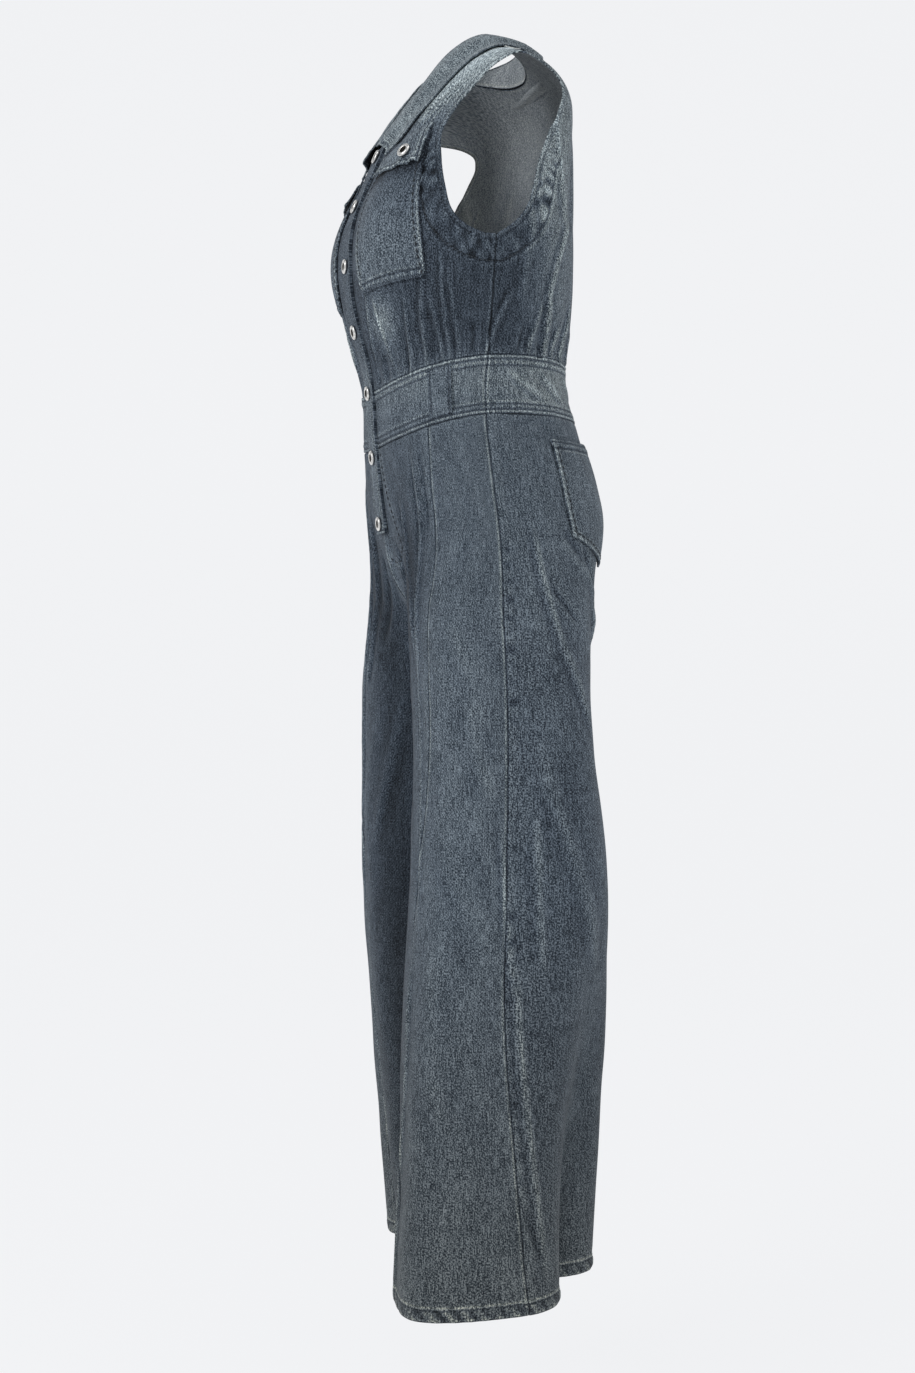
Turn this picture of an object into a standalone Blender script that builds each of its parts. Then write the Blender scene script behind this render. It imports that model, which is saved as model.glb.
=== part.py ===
"""Sleeveless wide-leg denim jumpsuit with a shirt collar, built as the separate pieces that are sewn together.

Metres, +Z up, +X the wearer's left, -Y the front. The origin is where the shoulders carry the garment:
midway between the neck ends of the two shoulder seams. Every cloth piece is a thin wall that follows one
master surface, torso() above the crotch and leg() below the waistband, so that neighbours meet at a seam gap.
"""

import math
from functools import partial

import bpy
import numpy as np
from mathutils import Vector

# ---------------------------------------------------------------- cloth
WALL = 0.0014                # one layer of denim
SEAM_GAP = 0.0003            # between two pieces at a seam
LAYER_GAP = 0.0008           # between a panel and what is sewn on to it

# ---------------------------------------------------------------- heights
NECK_X = 0.070               # neck end of the shoulder seam
SHOULDER_X = 0.182           # armhole end of the shoulder seam
SHOULDER_Y = 0.012           # the shoulder seam lies a little behind the middle
SHOULDER_SLOPE = 0.40        # fall of the shoulder seam over its run
FRONT_ROLL_Z = -0.135        # the front starts to bend back over the shoulder
BACK_ROLL_Z = -0.085         # the back bends over the shoulder more tightly
NECK_FRONT_Z = -0.116        # lowest point of the neckline, in front
NECK_BACK_Z = -0.020         # lowest point of the neckline, behind
ARMPIT_Z = -0.2405           # bottom of the armhole, on the side seam
WAIST_Z = -0.365             # waist seam at the back
WAIST_DIP = 0.029            # the waist seam drops this much at the centre front
WAISTBAND_HEIGHT = 0.065
CROTCH_TOP_Z = -0.560        # the rise seam leaves the centre front and back
CROTCH_Z = -0.662
HEM_Z = -1.408
HEM_HEIGHT = 0.017

# ---------------------------------------------------------------- master sections
TORSO = (
    ("z", "half_width", "front", "back", "side_y", "squareness"),
    (-0.700, 0.184, 0.091, 0.126, -0.012, 2.4),
    (-0.620, 0.184, 0.094, 0.146, -0.012, 2.4),
    (-0.560, 0.179, 0.096, 0.155, -0.014, 2.4),
    (-0.500, 0.168, 0.102, 0.144, -0.018, 2.4),
    (-0.440, 0.156, 0.108, 0.127, -0.021, 2.3),
    (-0.400, 0.150, 0.110, 0.115, -0.020, 2.3),
    (-0.366, 0.149, 0.115, 0.111, -0.017, 2.3),
    (-0.320, 0.156, 0.128, 0.115, -0.015, 2.4),
    (-0.250, 0.164, 0.137, 0.117, -0.013, 2.5),
    (-0.200, 0.173, 0.132, 0.114, -0.013, 2.5),
    (-0.140, 0.186, 0.108, 0.109, -0.013, 2.5),
    (-0.080, 0.190, 0.085, 0.108, -0.010, 2.5),
    (-0.050, 0.190, 0.074, 0.104, -0.007, 2.5),
    (0.030, 0.190, 0.056, 0.060, 0.000, 2.5),
)
LEG = (
    ("z", "centre_x", "half_width", "front", "back", "side_y", "squareness", "step"),
    (-1.408, 0.0990, 0.0790, 0.081, 0.166, 0.047, 2.7, 0.026),
    (-1.250, 0.0980, 0.0790, 0.085, 0.162, 0.021, 2.6, 0.015),
    (-1.080, 0.0965, 0.0810, 0.090, 0.155, -0.003, 2.5, 0.004),
    (-0.960, 0.0955, 0.0840, 0.0895, 0.141, -0.010, 2.4, -0.004),
    (-0.800, 0.0945, 0.0890, 0.0870, 0.113, -0.012, 2.4, -0.0065),
    (-0.700, 0.0938, 0.0915, 0.0885, 0.114, -0.012, 2.4, -0.004),
    (-0.640, 0.0934, 0.0927, 0.0920, 0.132, -0.012, 2.4, 0.000),
)
LEG_GIRTH = 0.64             # once round a leg
BLEND_TOP_Z = -0.52          # below this the hips turn into two legs
BLEND_HEIGHT = 0.22
INSEAM_REACH = 0.12          # part of the girth that follows the rise seam instead
# Girth position of the seam between the two front panels of a leg: 0 inseam, 0.25 front, 0.5 side seam.
FRONT_SEAM = (
    ("z", "girth"),
    (-1.408, 0.250),
    (-1.200, 0.255),
    (-0.980, 0.266),
    (-0.750, 0.312),
    (-0.620, 0.286),
    (-0.520, 0.262),
    (-0.440, 0.283),
)

# ---------------------------------------------------------------- bodice edges, v from the waist up
ARMPIT_V = 0.32
NECK_V = 0.62
ARMHOLE_FRONT = (
    ("v", "angle", "z"),
    (0.32, 90.0, ARMPIT_Z),
    (0.35, 84.0, -0.2400),
    (0.39, 75.5, -0.2335),
    (0.45, 68.0, -0.2190),
    (0.53, 62.5, -0.1920),
    (0.62, 56.8, -0.1620),
    (0.70, 52.8, -0.1350),
    (0.79, 56.0, -0.1070),
    (0.88, 60.5, -0.0810),
    (0.95, 62.5, -0.0600),
    (1.00, 67.3, -0.0468),
)
ARMHOLE_BACK = (
    ("v", "angle", "z"),
    (0.32, 90.0, ARMPIT_Z),
    (0.36, 83.5, -0.2310),
    (0.45, 75.0, -0.2100),
    (0.54, 71.5, -0.1860),
    (0.64, 69.0, -0.1600),
    (0.74, 63.0, -0.1280),
    (0.83, 57.0, -0.1020),
    (0.90, 52.5, -0.0780),
    (0.95, 52.5, -0.0620),
    (0.98, 58.0, -0.0530),
    (1.00, 67.3, -0.0468),
)
NECKLINE_FRONT = (
    ("v", "x", "z"),
    (0.62, 0.000, NECK_FRONT_Z),
    (0.72, 0.020, -0.096),
    (0.82, 0.042, -0.066),
    (0.91, 0.058, -0.034),
    (0.96, 0.065, -0.016),
    (1.00, NECK_X, -0.002),
)

# ---------------------------------------------------------------- fullness of the fronts
BUST_ANGLE = 32.0            # of each side's fullest point from the centre front
BUST_Z = -0.232
BUST_FULLNESS = 0.0075
BUST_SPREAD = (19.0, 0.050)  # in degrees and in height

# ---------------------------------------------------------------- gathers above the waist seam
GATHER_HOLD = 0.006          # the seam flattens the troughs this far to either side
GATHERS_FRONT = (
    ("angle", "height", "depth", "width"),
    (14.0, 0.050, 0.0035, 2.2),
    (23.0, 0.075, 0.0045, 2.6),
    (31.0, 0.045, 0.0040, 2.2),
    (39.0, 0.085, 0.0050, 2.6),
    (47.0, 0.050, 0.0040, 2.2),
    (56.0, 0.065, 0.0045, 2.6),
    (68.0, 0.045, 0.0035, 2.6),
)
GATHERS_BACK = (
    ("angle", "height", "depth", "width"),
    (110.0, 0.050, 0.0040, 2.6),
    (119.0, 0.080, 0.0050, 2.6),
    (128.0, 0.050, 0.0040, 2.4),
    (137.0, 0.070, 0.0050, 2.6),
    (147.0, 0.045, 0.0035, 2.4),
    (157.0, 0.075, 0.0045, 2.8),
    (169.0, 0.050, 0.0040, 2.6),
)

# ---------------------------------------------------------------- large folds of the legs
# A fold is a trough (depth above 0) or a ridge (below 0) that grows from its top down to the hem.
LEG_FOLDS = {
    "left": (
        ("girth", "top_z", "depth", "width", "drift"),
        (0.660, -0.840, 0.072, 0.088, 0.000),
        (0.350, -0.800, -0.012, 0.060, 0.000),
        (0.110, -0.900, 0.016, 0.045, 0.010),
        (0.880, -0.950, 0.018, 0.045, -0.010),
    ),
    "right": (
        ("girth", "top_z", "depth", "width", "drift"),
        (0.650, -0.900, 0.046, 0.050, 0.010),
        (0.350, -0.850, -0.008, 0.050, 0.000),
        (0.300, -0.760, 0.008, 0.030, -0.020),
        (0.550, -1.020, -0.008, 0.035, 0.000),
        (0.120, -0.880, 0.014, 0.045, 0.015),
        (0.870, -0.960, 0.020, 0.050, -0.010),
    ),
}

# ---------------------------------------------------------------- collar, by turn: 0 back, 1 front end
NECKLINE_TURN = 0.42         # turn at which the neckline crosses the shoulder seam
COLLAR_FOLD = (
    ("turn", "x", "y", "z"),
    (0.00, 0.000, 0.074, 0.022),
    (0.18, 0.037, 0.062, 0.018),
    (0.38, 0.064, 0.014, 0.010),
    (0.47, 0.064, -0.010, 0.003),
    (0.56, 0.060, -0.034, -0.014),
    (0.66, 0.050, -0.058, -0.043),
    (0.77, 0.034, -0.081, -0.076),
    (0.86, 0.017, -0.101, -0.104),
)
COLLAR_EDGE = (
    ("turn", "x", "y", "z"),
    (0.00, 0.000, 0.110, -0.030),
    (0.18, 0.056, 0.100, -0.030),
    (0.38, 0.105, 0.018, -0.009),
    (0.47, 0.112, -0.022, -0.024),
    (0.56, 0.113, -0.050, -0.046),
    (0.66, 0.108, -0.074, -0.075),
    (0.77, 0.088, -0.099, -0.108),
    (0.86, 0.056, -0.118, -0.134),
)
COLLAR_BULGE = 0.006
COLLAR_END_TURN = 0.86       # the collar stops short of the centre front
COLLAR_GAP = 0.0012          # between the neckline and the foot of the stand
FOLD_CLEARANCE = (0.0016, 0.0006)  # outward and up, between the stand's top and the fall

# ---------------------------------------------------------------- placket, pockets, tabs, buttons
PLACKET_HALF = 0.0175
PLACKET_TOP_Z = -0.113
PLACKET_END_Z = -0.556
BUTTON_HEIGHTS = (-0.123, -0.182, -0.250, -0.324, -0.394, -0.468, -0.544)
BUTTON_RADIUS = 0.0083
BUTTON_HEIGHT = 0.0030
CHEST_POCKET_X = (0.050, 0.1455)
CHEST_POCKET_TOP_Z = -0.130
CHEST_POCKET_LIFT = 0.0006   # the pocket hangs this much further off the full front
CHEST_POCKET_LOW_Z = (-0.292, -0.2865)
CHEST_POCKET_CORNER = 0.012
FLAP_X = (0.060, 0.146)
FLAP_TOP_Z = -0.117
FLAP_LOW_Z = -0.153
FLAP_POINT = 0.007
FLAP_LIFT = 0.0045
FLAP_CLIMB = 0.25            # share of the flap's fall in which it climbs on to the pocket
FLAP_BUTTON = (0.112, -0.146)
BACK_POCKET_ANGLE = (12.5, 57.0)
BACK_POCKET_TOP_Z = -0.452
BACK_POCKET_LOW_Z = -0.566
BACK_POCKET_POINT = 0.022
BACK_POCKET_TAPER = 0.10
BACK_POCKET_LIFT = 0.0005    # more than LAYER_GAP, over the curve of the seat
TAB_ANGLE = 62.0
TAB_HALF_ANGLE = 4.9
TAB_MARGIN = 0.006

# ---------------------------------------------------------------- mesh density
SIDE_COLUMNS = 13            # bodice columns from the centre to the side, above the gathers
GATHER_ROWS = 4              # rows above the waist seam with twice the columns
ARMHOLE_ROWS = 11
LEG_COLUMNS = {"front_inner": 10, "front_outer": 10, "back": 20}
BUTTON_SEGMENTS = 12
TORSO_STEP = (0.04, 0.005)   # angle and height over which a normal is measured
LEG_STEP = (0.012, 0.004)    # girth and height
HALF_GAP_ANGLE = SEAM_GAP / 2 / 0.155

DENIM = (0.115, 0.150, 0.195, 1.0)
STEEL = (0.62, 0.62, 0.60, 1.0)


def column(table, name, at):
    """One column of a table, read smoothly at the values `at` of its first column."""
    names, rows = table[0], np.array(table[1:], dtype=float)
    known, values = rows[:, 0], rows[:, names.index(name)]
    slopes = np.gradient(values, known)
    at = np.clip(np.asarray(at, dtype=float), known[0], known[-1])
    low = np.clip(np.searchsorted(known, at) - 1, 0, len(known) - 2)
    span = known[low + 1] - known[low]
    t = (at - known[low]) / span
    rise = values[low + 1] - values[low]
    lift = slopes[low] * span
    fall = slopes[low + 1] * span
    return values[low] + t * (lift + t * (3 * rise - 2 * lift - fall + t * (lift + fall - 2 * rise)))


def smoothstep(t):
    t = np.clip(t, 0.0, 1.0)
    return t * t * (3 - 2 * t)


def shoulder_z(x):
    """Height of the shoulder seam's line at a distance from the middle."""
    return -0.002 - (np.abs(x) - NECK_X) * SHOULDER_SLOPE


def waist_seam_z(angle):
    return WAIST_Z - WAIST_DIP * ((1 + np.cos(angle)) / 2) ** 3


def hip_seam_z(angle):
    return waist_seam_z(angle) - WAISTBAND_HEIGHT


def superellipse(angle, squareness):
    """Sine and cosine, stretched on to a superellipse of half-size 1."""
    s, c = np.sin(angle), np.cos(angle)
    reach = (np.abs(s) ** squareness + np.abs(c) ** squareness) ** (1 / squareness)
    return s / reach, c / reach


def angle_at(x, z):
    """Angle from the centre front of the point of the torso's front at a distance x from the middle."""
    squareness = column(TORSO, "squareness", z)
    side = np.clip(np.abs(x) / column(TORSO, "half_width", z), 0, 1)
    return np.sign(x) * np.arctan2(side, (1 - side ** squareness) ** (1 / squareness))


def gather_relief(angle, z):
    """Troughs that the waist seam holds almost flat and that fade upward."""
    degrees = np.degrees(np.abs(angle))
    above = z - waist_seam_z(angle)
    relief = np.zeros(np.broadcast(angle, z).shape)
    for table in (GATHERS_FRONT, GATHERS_BACK):
        for at, height, depth, width in table[1:]:
            held = smoothstep((above + GATHER_HOLD) / (3 * GATHER_HOLD)) * (1 - smoothstep(above / height))
            relief -= depth * np.exp(-(((degrees - at) / width) ** 2)) * held
    return relief


def bust_relief(angle, z):
    around = (np.degrees(np.abs(angle)) - BUST_ANGLE) / BUST_SPREAD[0]
    return BUST_FULLNESS * np.exp(-around ** 2 - ((z - BUST_Z) / BUST_SPREAD[1]) ** 2)


def torso(angle, z):
    """Point of the body's outer surface at an angle from the centre front and a height."""
    angle, z = np.broadcast_arrays(np.asarray(angle, dtype=float), np.asarray(z, dtype=float))
    side, ahead = superellipse(angle, column(TORSO, "squareness", z))
    side_y = column(TORSO, "side_y", z)
    front = column(TORSO, "front", z) + side_y
    back = column(TORSO, "back", z) - side_y
    x = column(TORSO, "half_width", z) * side
    y = side_y - np.where(ahead > 0, front, back) * ahead
    roll_z = np.where(ahead > 0, FRONT_ROLL_Z, BACK_ROLL_Z)
    rise = np.clip((z - roll_z) / (shoulder_z(x) - roll_z), 0, 1)
    y = SHOULDER_Y + (y - SHOULDER_Y) * np.sqrt(1 - rise ** 2)
    relief = gather_relief(angle, z) + bust_relief(angle, z)
    return np.stack((x + relief * np.sin(angle), y - relief * np.cos(angle), z), axis=-1)


def leg_relief(side, girth, z):
    """Outward displacement of a leg by its large folds."""
    relief = np.zeros(np.broadcast(girth, z).shape)
    for at, top_z, depth, width, drift in LEG_FOLDS[side][1:]:
        grown = smoothstep((top_z - z) / (top_z - HEM_Z))
        away = (girth - at - drift * grown + 0.5) % 1.0 - 0.5
        relief -= depth * grown * np.exp(-((away / width) ** 2))
    return relief


def leg(side, girth, z):
    """Point of a leg's outer surface, modelled on the left: girth 0 inseam, 0.25 front, 0.5 side, 0.75 back.

    Above the crotch the same girth runs half round the hips, from the centre front to the centre back.
    """
    girth, z = np.broadcast_arrays(np.asarray(girth, dtype=float), np.asarray(z, dtype=float))
    hip = torso(math.pi * girth, z)
    turn = 2 * math.pi * girth
    across, along = superellipse(turn + math.pi / 2, column(LEG, "squareness", z))
    side_y = column(LEG, "side_y", z)
    reach = np.where(along < 0, column(LEG, "front", z) + side_y, column(LEG, "back", z) - side_y)
    relief = leg_relief(side, girth, z)
    step = column(LEG, "step", z) * (1 if side == "left" else -1)
    x = column(LEG, "centre_x", z) - column(LEG, "half_width", z) * across - relief * np.cos(turn)
    y = side_y + reach * along - relief * np.sin(turn) - step
    down = np.clip((CROTCH_TOP_Z - z) / (CROTCH_TOP_Z - CROTCH_Z), 0, 1)
    at_rise = 1 - np.sqrt(1 - down ** 2)
    at_side = smoothstep((BLEND_TOP_Z - z) / BLEND_HEIGHT)
    inner = np.clip(1 - np.minimum(np.abs(girth), np.abs(1 - girth)) / INSEAM_REACH, 0, 1) ** 2
    share = (at_side + (at_rise - at_side) * inner)[..., None]
    return hip * (1 - share) + np.stack((x, y, z), axis=-1) * share


def unit(vectors):
    return vectors / np.linalg.norm(vectors, axis=-1, keepdims=True)


def surface_normals(surface, u, z, step):
    """Outward normals of a surface(u, z) by central differences."""
    du, dz = step
    along = surface(u + du, z) - surface(u - du, z)
    up = surface(u, z + dz) - surface(u, z - dz)
    return unit(np.cross(along, up))


def grid_faces(rows, columns, wrap=False):
    faces = []
    for row in range(rows - 1):
        for left in range(columns if wrap else columns - 1):
            right = (left + 1) % columns
            faces.append((row * columns + left, row * columns + right,
                          (row + 1) * columns + right, (row + 1) * columns + left))
    return faces


def add_object(name, points, faces, colour, metallic=0.0, roughness=0.85):
    mesh = bpy.data.meshes.new(name)
    mesh.from_pydata([tuple(point) for point in points], [], faces)
    mesh.validate()
    mesh.shade_smooth()
    mesh.set_sharp_from_angle(angle=math.radians(50))
    material = bpy.data.materials.new(name)
    material.use_nodes = True
    shader = material.node_tree.nodes["Principled BSDF"]
    shader.inputs["Base Color"].default_value = colour
    shader.inputs["Metallic"].default_value = metallic
    shader.inputs["Roughness"].default_value = roughness
    mesh.materials.append(material)
    piece = bpy.data.objects.new(name, mesh)
    bpy.context.collection.objects.link(piece)
    return piece


def cloth(name, points, normals, faces, thickness=WALL):
    """A closed wall: the outer points, the same moved inward, and a rim round every free edge."""
    outer = points.reshape(-1, 3)
    inner = outer - normals.reshape(-1, 3) * thickness
    count = len(outer)
    walls = list(faces) + [tuple(count + i for i in reversed(face)) for face in faces]
    edges = {(face[i], face[(i + 1) % len(face)]) for face in faces for i in range(len(face))}
    walls += [(b, a, a + count, b + count) for a, b in sorted(edges) if (b, a) not in edges]
    return add_object(name, np.concatenate((outer, inner)), walls, DENIM)


def grid_cloth(name, points, normals, mirrored=False, wrap=False, thickness=WALL):
    """A wall over a grid of rows from low to high, its columns running to the wearer's left at the front."""
    if mirrored:
        flip = np.array((-1.0, 1.0, 1.0))
        points, normals = points[:, ::-1] * flip, normals[:, ::-1] * flip
    rows, columns = points.shape[:2]
    return cloth(name, points, normals, grid_faces(rows, columns, wrap), thickness)


# ---------------------------------------------------------------- bodice
def coarse_rows(points, normals, fine_rows):
    """Keep every column in the lowest rows and every second one above, with a row of triangles between."""
    rows, columns = points.shape[:2]
    faces, starts, kept = [], [], []
    count = 0
    for row in range(rows):
        step = 1 if row < fine_rows else 2
        starts.append((count, step))
        kept += [(row, at) for at in range(0, columns, step)]
        count += (columns - 1) // step + 1
    for row in range(rows - 1):
        low, low_step = starts[row]
        high, high_step = starts[row + 1]
        if low_step == high_step:
            for i in range((columns - 1) // low_step):
                faces.append((low + i, low + i + 1, high + i + 1, high + i))
            continue
        for i in range((columns - 1) // 2):
            a, b, c = low + 2 * i, low + 2 * i + 1, low + 2 * i + 2
            faces += [(a, b, high + i), (b, high + i + 1, high + i), (b, c, high + i + 1)]
    index = tuple(np.array(kept).T)
    return points[index], normals[index], faces


def bodice_steps():
    """Heights of the rows as fractions: closer together over the gathers and at the shoulder."""
    low = np.linspace(0, ARMPIT_V / 2, GATHER_ROWS)
    middle = np.linspace(ARMPIT_V / 2, ARMPIT_V, 3)[1:]
    armhole = ARMPIT_V + (1 - ARMPIT_V) * np.linspace(0, 1, ARMHOLE_ROWS + 1)[1:] ** 1.15
    return np.concatenate((low, middle, armhole))


def bodice_patch(steps, spread, inner, armhole, from_back):
    """Angles and heights of the bodice grid between an inner edge and the side seam and armhole."""
    v = steps[:, None]
    above = v > ARMPIT_V
    outer_angle = np.where(above, np.radians(column(armhole, "angle", v)), math.pi / 2)
    waist = waist_seam_z(math.pi / 2) + SEAM_GAP / 2
    outer_z = np.where(above, column(armhole, "z", v), waist + (ARMPIT_Z - waist) * v / ARMPIT_V)
    inner_angle, inner_z = inner(v)
    angle = inner_angle + (outer_angle - inner_angle) * spread
    share = np.sin(angle) - np.sin(inner_angle)
    share = share / (np.sin(outer_angle) - np.sin(inner_angle))
    z = inner_z + (outer_z - inner_z) * share
    if from_back:
        angle = math.pi - angle
    seam = waist_seam_z(angle) + SEAM_GAP / 2
    z = z + (seam - z[0]) * np.clip(1 - v / ARMPIT_V, 0, 1)
    return angle, z


def front_inner_edge(v):
    low = waist_seam_z(0.0) + SEAM_GAP / 2
    x = np.where(v > NECK_V, column(NECKLINE_FRONT, "x", v), 0.0) + SEAM_GAP / 2
    z = np.where(v > NECK_V, column(NECKLINE_FRONT, "z", v), low + (NECK_FRONT_Z - low) * v / NECK_V)
    return angle_at(x, z), z


def back_inner_edge(v):
    low = WAIST_Z + SEAM_GAP / 2
    return np.zeros_like(v), low + (NECK_BACK_Z - low) * v


def seat_on_shoulder(points, normals, y):
    """Lay the top row on the shoulder seam and turn its normals up."""
    row = points[-1]
    on_seam = np.abs(row[:, 0]) >= NECK_X - 1e-6
    row[on_seam, 1] = y
    row[on_seam, 2] = shoulder_z(row[on_seam, 0])
    up = np.stack((np.sign(row[:, 0]) * SHOULDER_SLOPE, np.zeros(len(row)), np.ones(len(row))), axis=-1)
    normals[-1][on_seam] = unit(up)[on_seam]


def bodice_front(side):
    spread = np.linspace(0, 1, 2 * SIDE_COLUMNS + 1)[None, :]
    angle, z = bodice_patch(bodice_steps(), spread, front_inner_edge, ARMHOLE_FRONT, from_back=False)
    angle[:, -1] -= HALF_GAP_ANGLE
    points = torso(angle, z)
    normals = surface_normals(torso, angle, z, TORSO_STEP)
    seat_on_shoulder(points, normals, SHOULDER_Y - SEAM_GAP / 2)
    if side == "right":
        flip = np.array((-1.0, 1.0, 1.0))
        points, normals = points[:, ::-1] * flip, normals[:, ::-1] * flip
    cloth("bodice_front_" + side, *coarse_rows(points, normals, GATHER_ROWS))


def back_top_row(angle, z):
    """Bend the upper rows of the back so that the last one follows the shoulders and the neckline."""
    x = torso(angle[-1], z[-1])[:, 0]
    neckline = NECK_BACK_Z + (shoulder_z(NECK_X) - NECK_BACK_Z) * np.clip(np.abs(x) / NECK_X, 0, 1) ** 2.5
    target = np.where(np.abs(x) < NECK_X, neckline, shoulder_z(x))
    return z + (target - z[-1]) * bodice_steps()[:, None] ** 4


def bodice_back():
    spread = np.linspace(0, 1, 2 * SIDE_COLUMNS + 1)[None, :]
    angle, z = bodice_patch(bodice_steps(), spread, back_inner_edge, ARMHOLE_BACK, from_back=True)
    angle[:, -1] += HALF_GAP_ANGLE
    z = back_top_row(angle, z)
    angle = np.concatenate((angle[:, ::-1], 2 * math.pi - angle[:, 1:]), axis=1)
    z = np.concatenate((z[:, ::-1], z[:, 1:]), axis=1)
    points = torso(angle, z)
    normals = surface_normals(torso, angle, z, TORSO_STEP)
    seat_on_shoulder(points, normals, SHOULDER_Y + SEAM_GAP / 2)
    cloth("bodice_back", *coarse_rows(points, normals, GATHER_ROWS))


# ---------------------------------------------------------------- collar
def neckline(turn):
    """Point of the neckline: turn 0 centre back, 1 centre front, on the wearer's left."""
    turn = np.asarray(turn, dtype=float)
    behind = np.clip(turn / NECKLINE_TURN, 0, 1)
    back_x = NECK_X * np.sin(behind * math.pi / 2)
    back_z = NECK_BACK_Z + (shoulder_z(NECK_X) - NECK_BACK_Z) * (back_x / NECK_X) ** 2.5
    back = torso(math.pi - angle_at(back_x, back_z), back_z)
    v = 1 - (1 - NECK_V) * np.clip((turn - NECKLINE_TURN) / (1 - NECKLINE_TURN), 0, 1)
    front_x, front_z = column(NECKLINE_FRONT, "x", v), column(NECKLINE_FRONT, "z", v)
    front = torso(angle_at(front_x, front_z), front_z)
    return np.where((turn < NECKLINE_TURN)[..., None], back, front)


def collar_line(table, turn):
    return np.stack([column(table, name, turn) for name in ("x", "y", "z")], axis=-1)


def both_sides(half):
    """Join a half that starts at the centre back with its mirror image, from right to left round the back."""
    return np.concatenate((half[:, :0:-1] * np.array((-1.0, 1.0, 1.0)), half), axis=1)


def grid_normals(points):
    along = np.gradient(points, axis=1)
    up = np.gradient(points, axis=0)
    return unit(np.cross(along, up))


def collar():
    turn = np.linspace(0, COLLAR_END_TURN, 14)
    gap = np.array((0, 0, COLLAR_GAP))
    fold = collar_line(COLLAR_FOLD, turn)
    foot = neckline(turn) + gap
    rise = np.linspace(0, 1, 3)[:, None, None]
    stand = both_sides(foot + (fold - gap - foot) * rise)[:, ::-1]
    cloth("collar_stand", stand, grid_normals(stand), grid_faces(*stand.shape[:2]))
    drop = np.linspace(1, 0, 5)[:, None, None]
    edge = collar_line(COLLAR_EDGE, turn)
    outward = unit(fold * np.array((1, 1, 0)) + np.array((0, 0, 1e-6)))
    start = fold + outward * FOLD_CLEARANCE[0] + np.array((0, 0, FOLD_CLEARANCE[1]))
    fall = start + (edge - start) * drop
    fall = both_sides(fall)[:, ::-1]
    normals = grid_normals(fall)
    fall = fall + normals * COLLAR_BULGE * np.sin(drop * math.pi)
    cloth("collar_fall", fall, grid_normals(fall), grid_faces(*fall.shape[:2]))


# ---------------------------------------------------------------- waistband and tabs
def waistband(name, first, last, columns):
    angle = np.radians(np.linspace(first, last, columns + 1))
    angle[0] += HALF_GAP_ANGLE
    angle[-1] -= HALF_GAP_ANGLE
    share = np.linspace(0, 1, 4)[:, None]
    low, high = hip_seam_z(angle) + SEAM_GAP / 2, waist_seam_z(angle) - SEAM_GAP / 2
    z = low + (high - low) * share
    angle = np.broadcast_to(angle, z.shape)
    grid_cloth(name, torso(angle, z), surface_normals(torso, angle, z, TORSO_STEP))


def torso_patch(angle, z, lift):
    """Points and normals of a layer that lies on the torso, moved out by `lift` measured to its outer face."""
    normals = surface_normals(torso, angle, z, TORSO_STEP)
    return torso(angle, z) + normals * np.asarray(lift)[..., None], normals


def waist_tab(side):
    angle = np.radians(TAB_ANGLE + np.linspace(-1, 1, 3) * TAB_HALF_ANGLE)[None, :]
    z = np.linspace(TAB_MARGIN, WAISTBAND_HEIGHT - TAB_MARGIN, 5)[:, None] + hip_seam_z(angle)
    points, normals = torso_patch(angle, z, np.full(z.shape, LAYER_GAP + WALL))
    grid_cloth("waist_tab_" + side, points, normals, mirrored=side == "right")


# ---------------------------------------------------------------- legs
def leg_normals(side, girth, z):
    return surface_normals(partial(leg, side), girth, z, LEG_STEP)


def leg_rows(girth):
    """Heights of the rows at each girth position, hem first, closest together round the crotch curve."""
    top = hip_seam_z(math.pi * girth) - SEAM_GAP / 2
    curve = np.sin(np.linspace(0, math.pi / 2, 7))
    rise = [CROTCH_TOP_Z + (CROTCH_Z - CROTCH_TOP_Z) * share for share in curve]
    waist = [top + (CROTCH_TOP_Z - top) * share for share in (0, 0.25, 0.5, 0.75)]
    low = np.linspace(CROTCH_Z, HEM_Z, 10)[1:]
    rows = waist + [np.full(girth.shape, z) for z in [*rise, *low]]
    return np.array(rows[::-1])


def across_panel(edges, z, share):
    """Girth positions across a panel, a seam gap short of its two edges: each a girth, or "seam"."""
    left, right = (column(FRONT_SEAM, "girth", z) if edge == "seam" else np.full(z.shape, edge) for edge in edges)
    left, right = left + SEAM_GAP / 2 / LEG_GIRTH, right - SEAM_GAP / 2 / LEG_GIRTH
    return left + (right - left) * share


def leg_panel(name, side, edges, columns):
    share = np.linspace(0, 1, columns + 1)
    z = leg_rows(across_panel(edges, np.full(share.shape, hip_seam_z(0.0)), share))
    girth = across_panel(edges, z, share)
    points = leg(side, girth, z)
    middle = np.abs(points[..., 0]) < SEAM_GAP / 2
    points[..., 0] = np.where(middle, SEAM_GAP / 2, points[..., 0])
    grid_cloth(name, points, leg_normals(side, girth, z), mirrored=side == "right")


def legs():
    for side in ("left", "right"):
        leg_panel("leg_front_inner_" + side, side, (0.0, "seam"), LEG_COLUMNS["front_inner"])
        leg_panel("leg_front_outer_" + side, side, ("seam", 0.5), LEG_COLUMNS["front_outer"])
        leg_panel("leg_back_" + side, side, (0.5, 1.0), LEG_COLUMNS["back"])


def hem(side):
    """The turned-up edge inside a leg's mouth."""
    girth = np.linspace(0, 1, 40, endpoint=False)[None, :]
    z = np.array((HEM_Z, HEM_Z + HEM_HEIGHT))[:, None]
    girth, z = np.broadcast_arrays(girth, z)
    normals = leg_normals(side, girth, z)
    points = leg(side, girth, z) - normals * (WALL + LAYER_GAP)
    grid_cloth("hem_" + side, points, normals, mirrored=side == "right", wrap=True)


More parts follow.
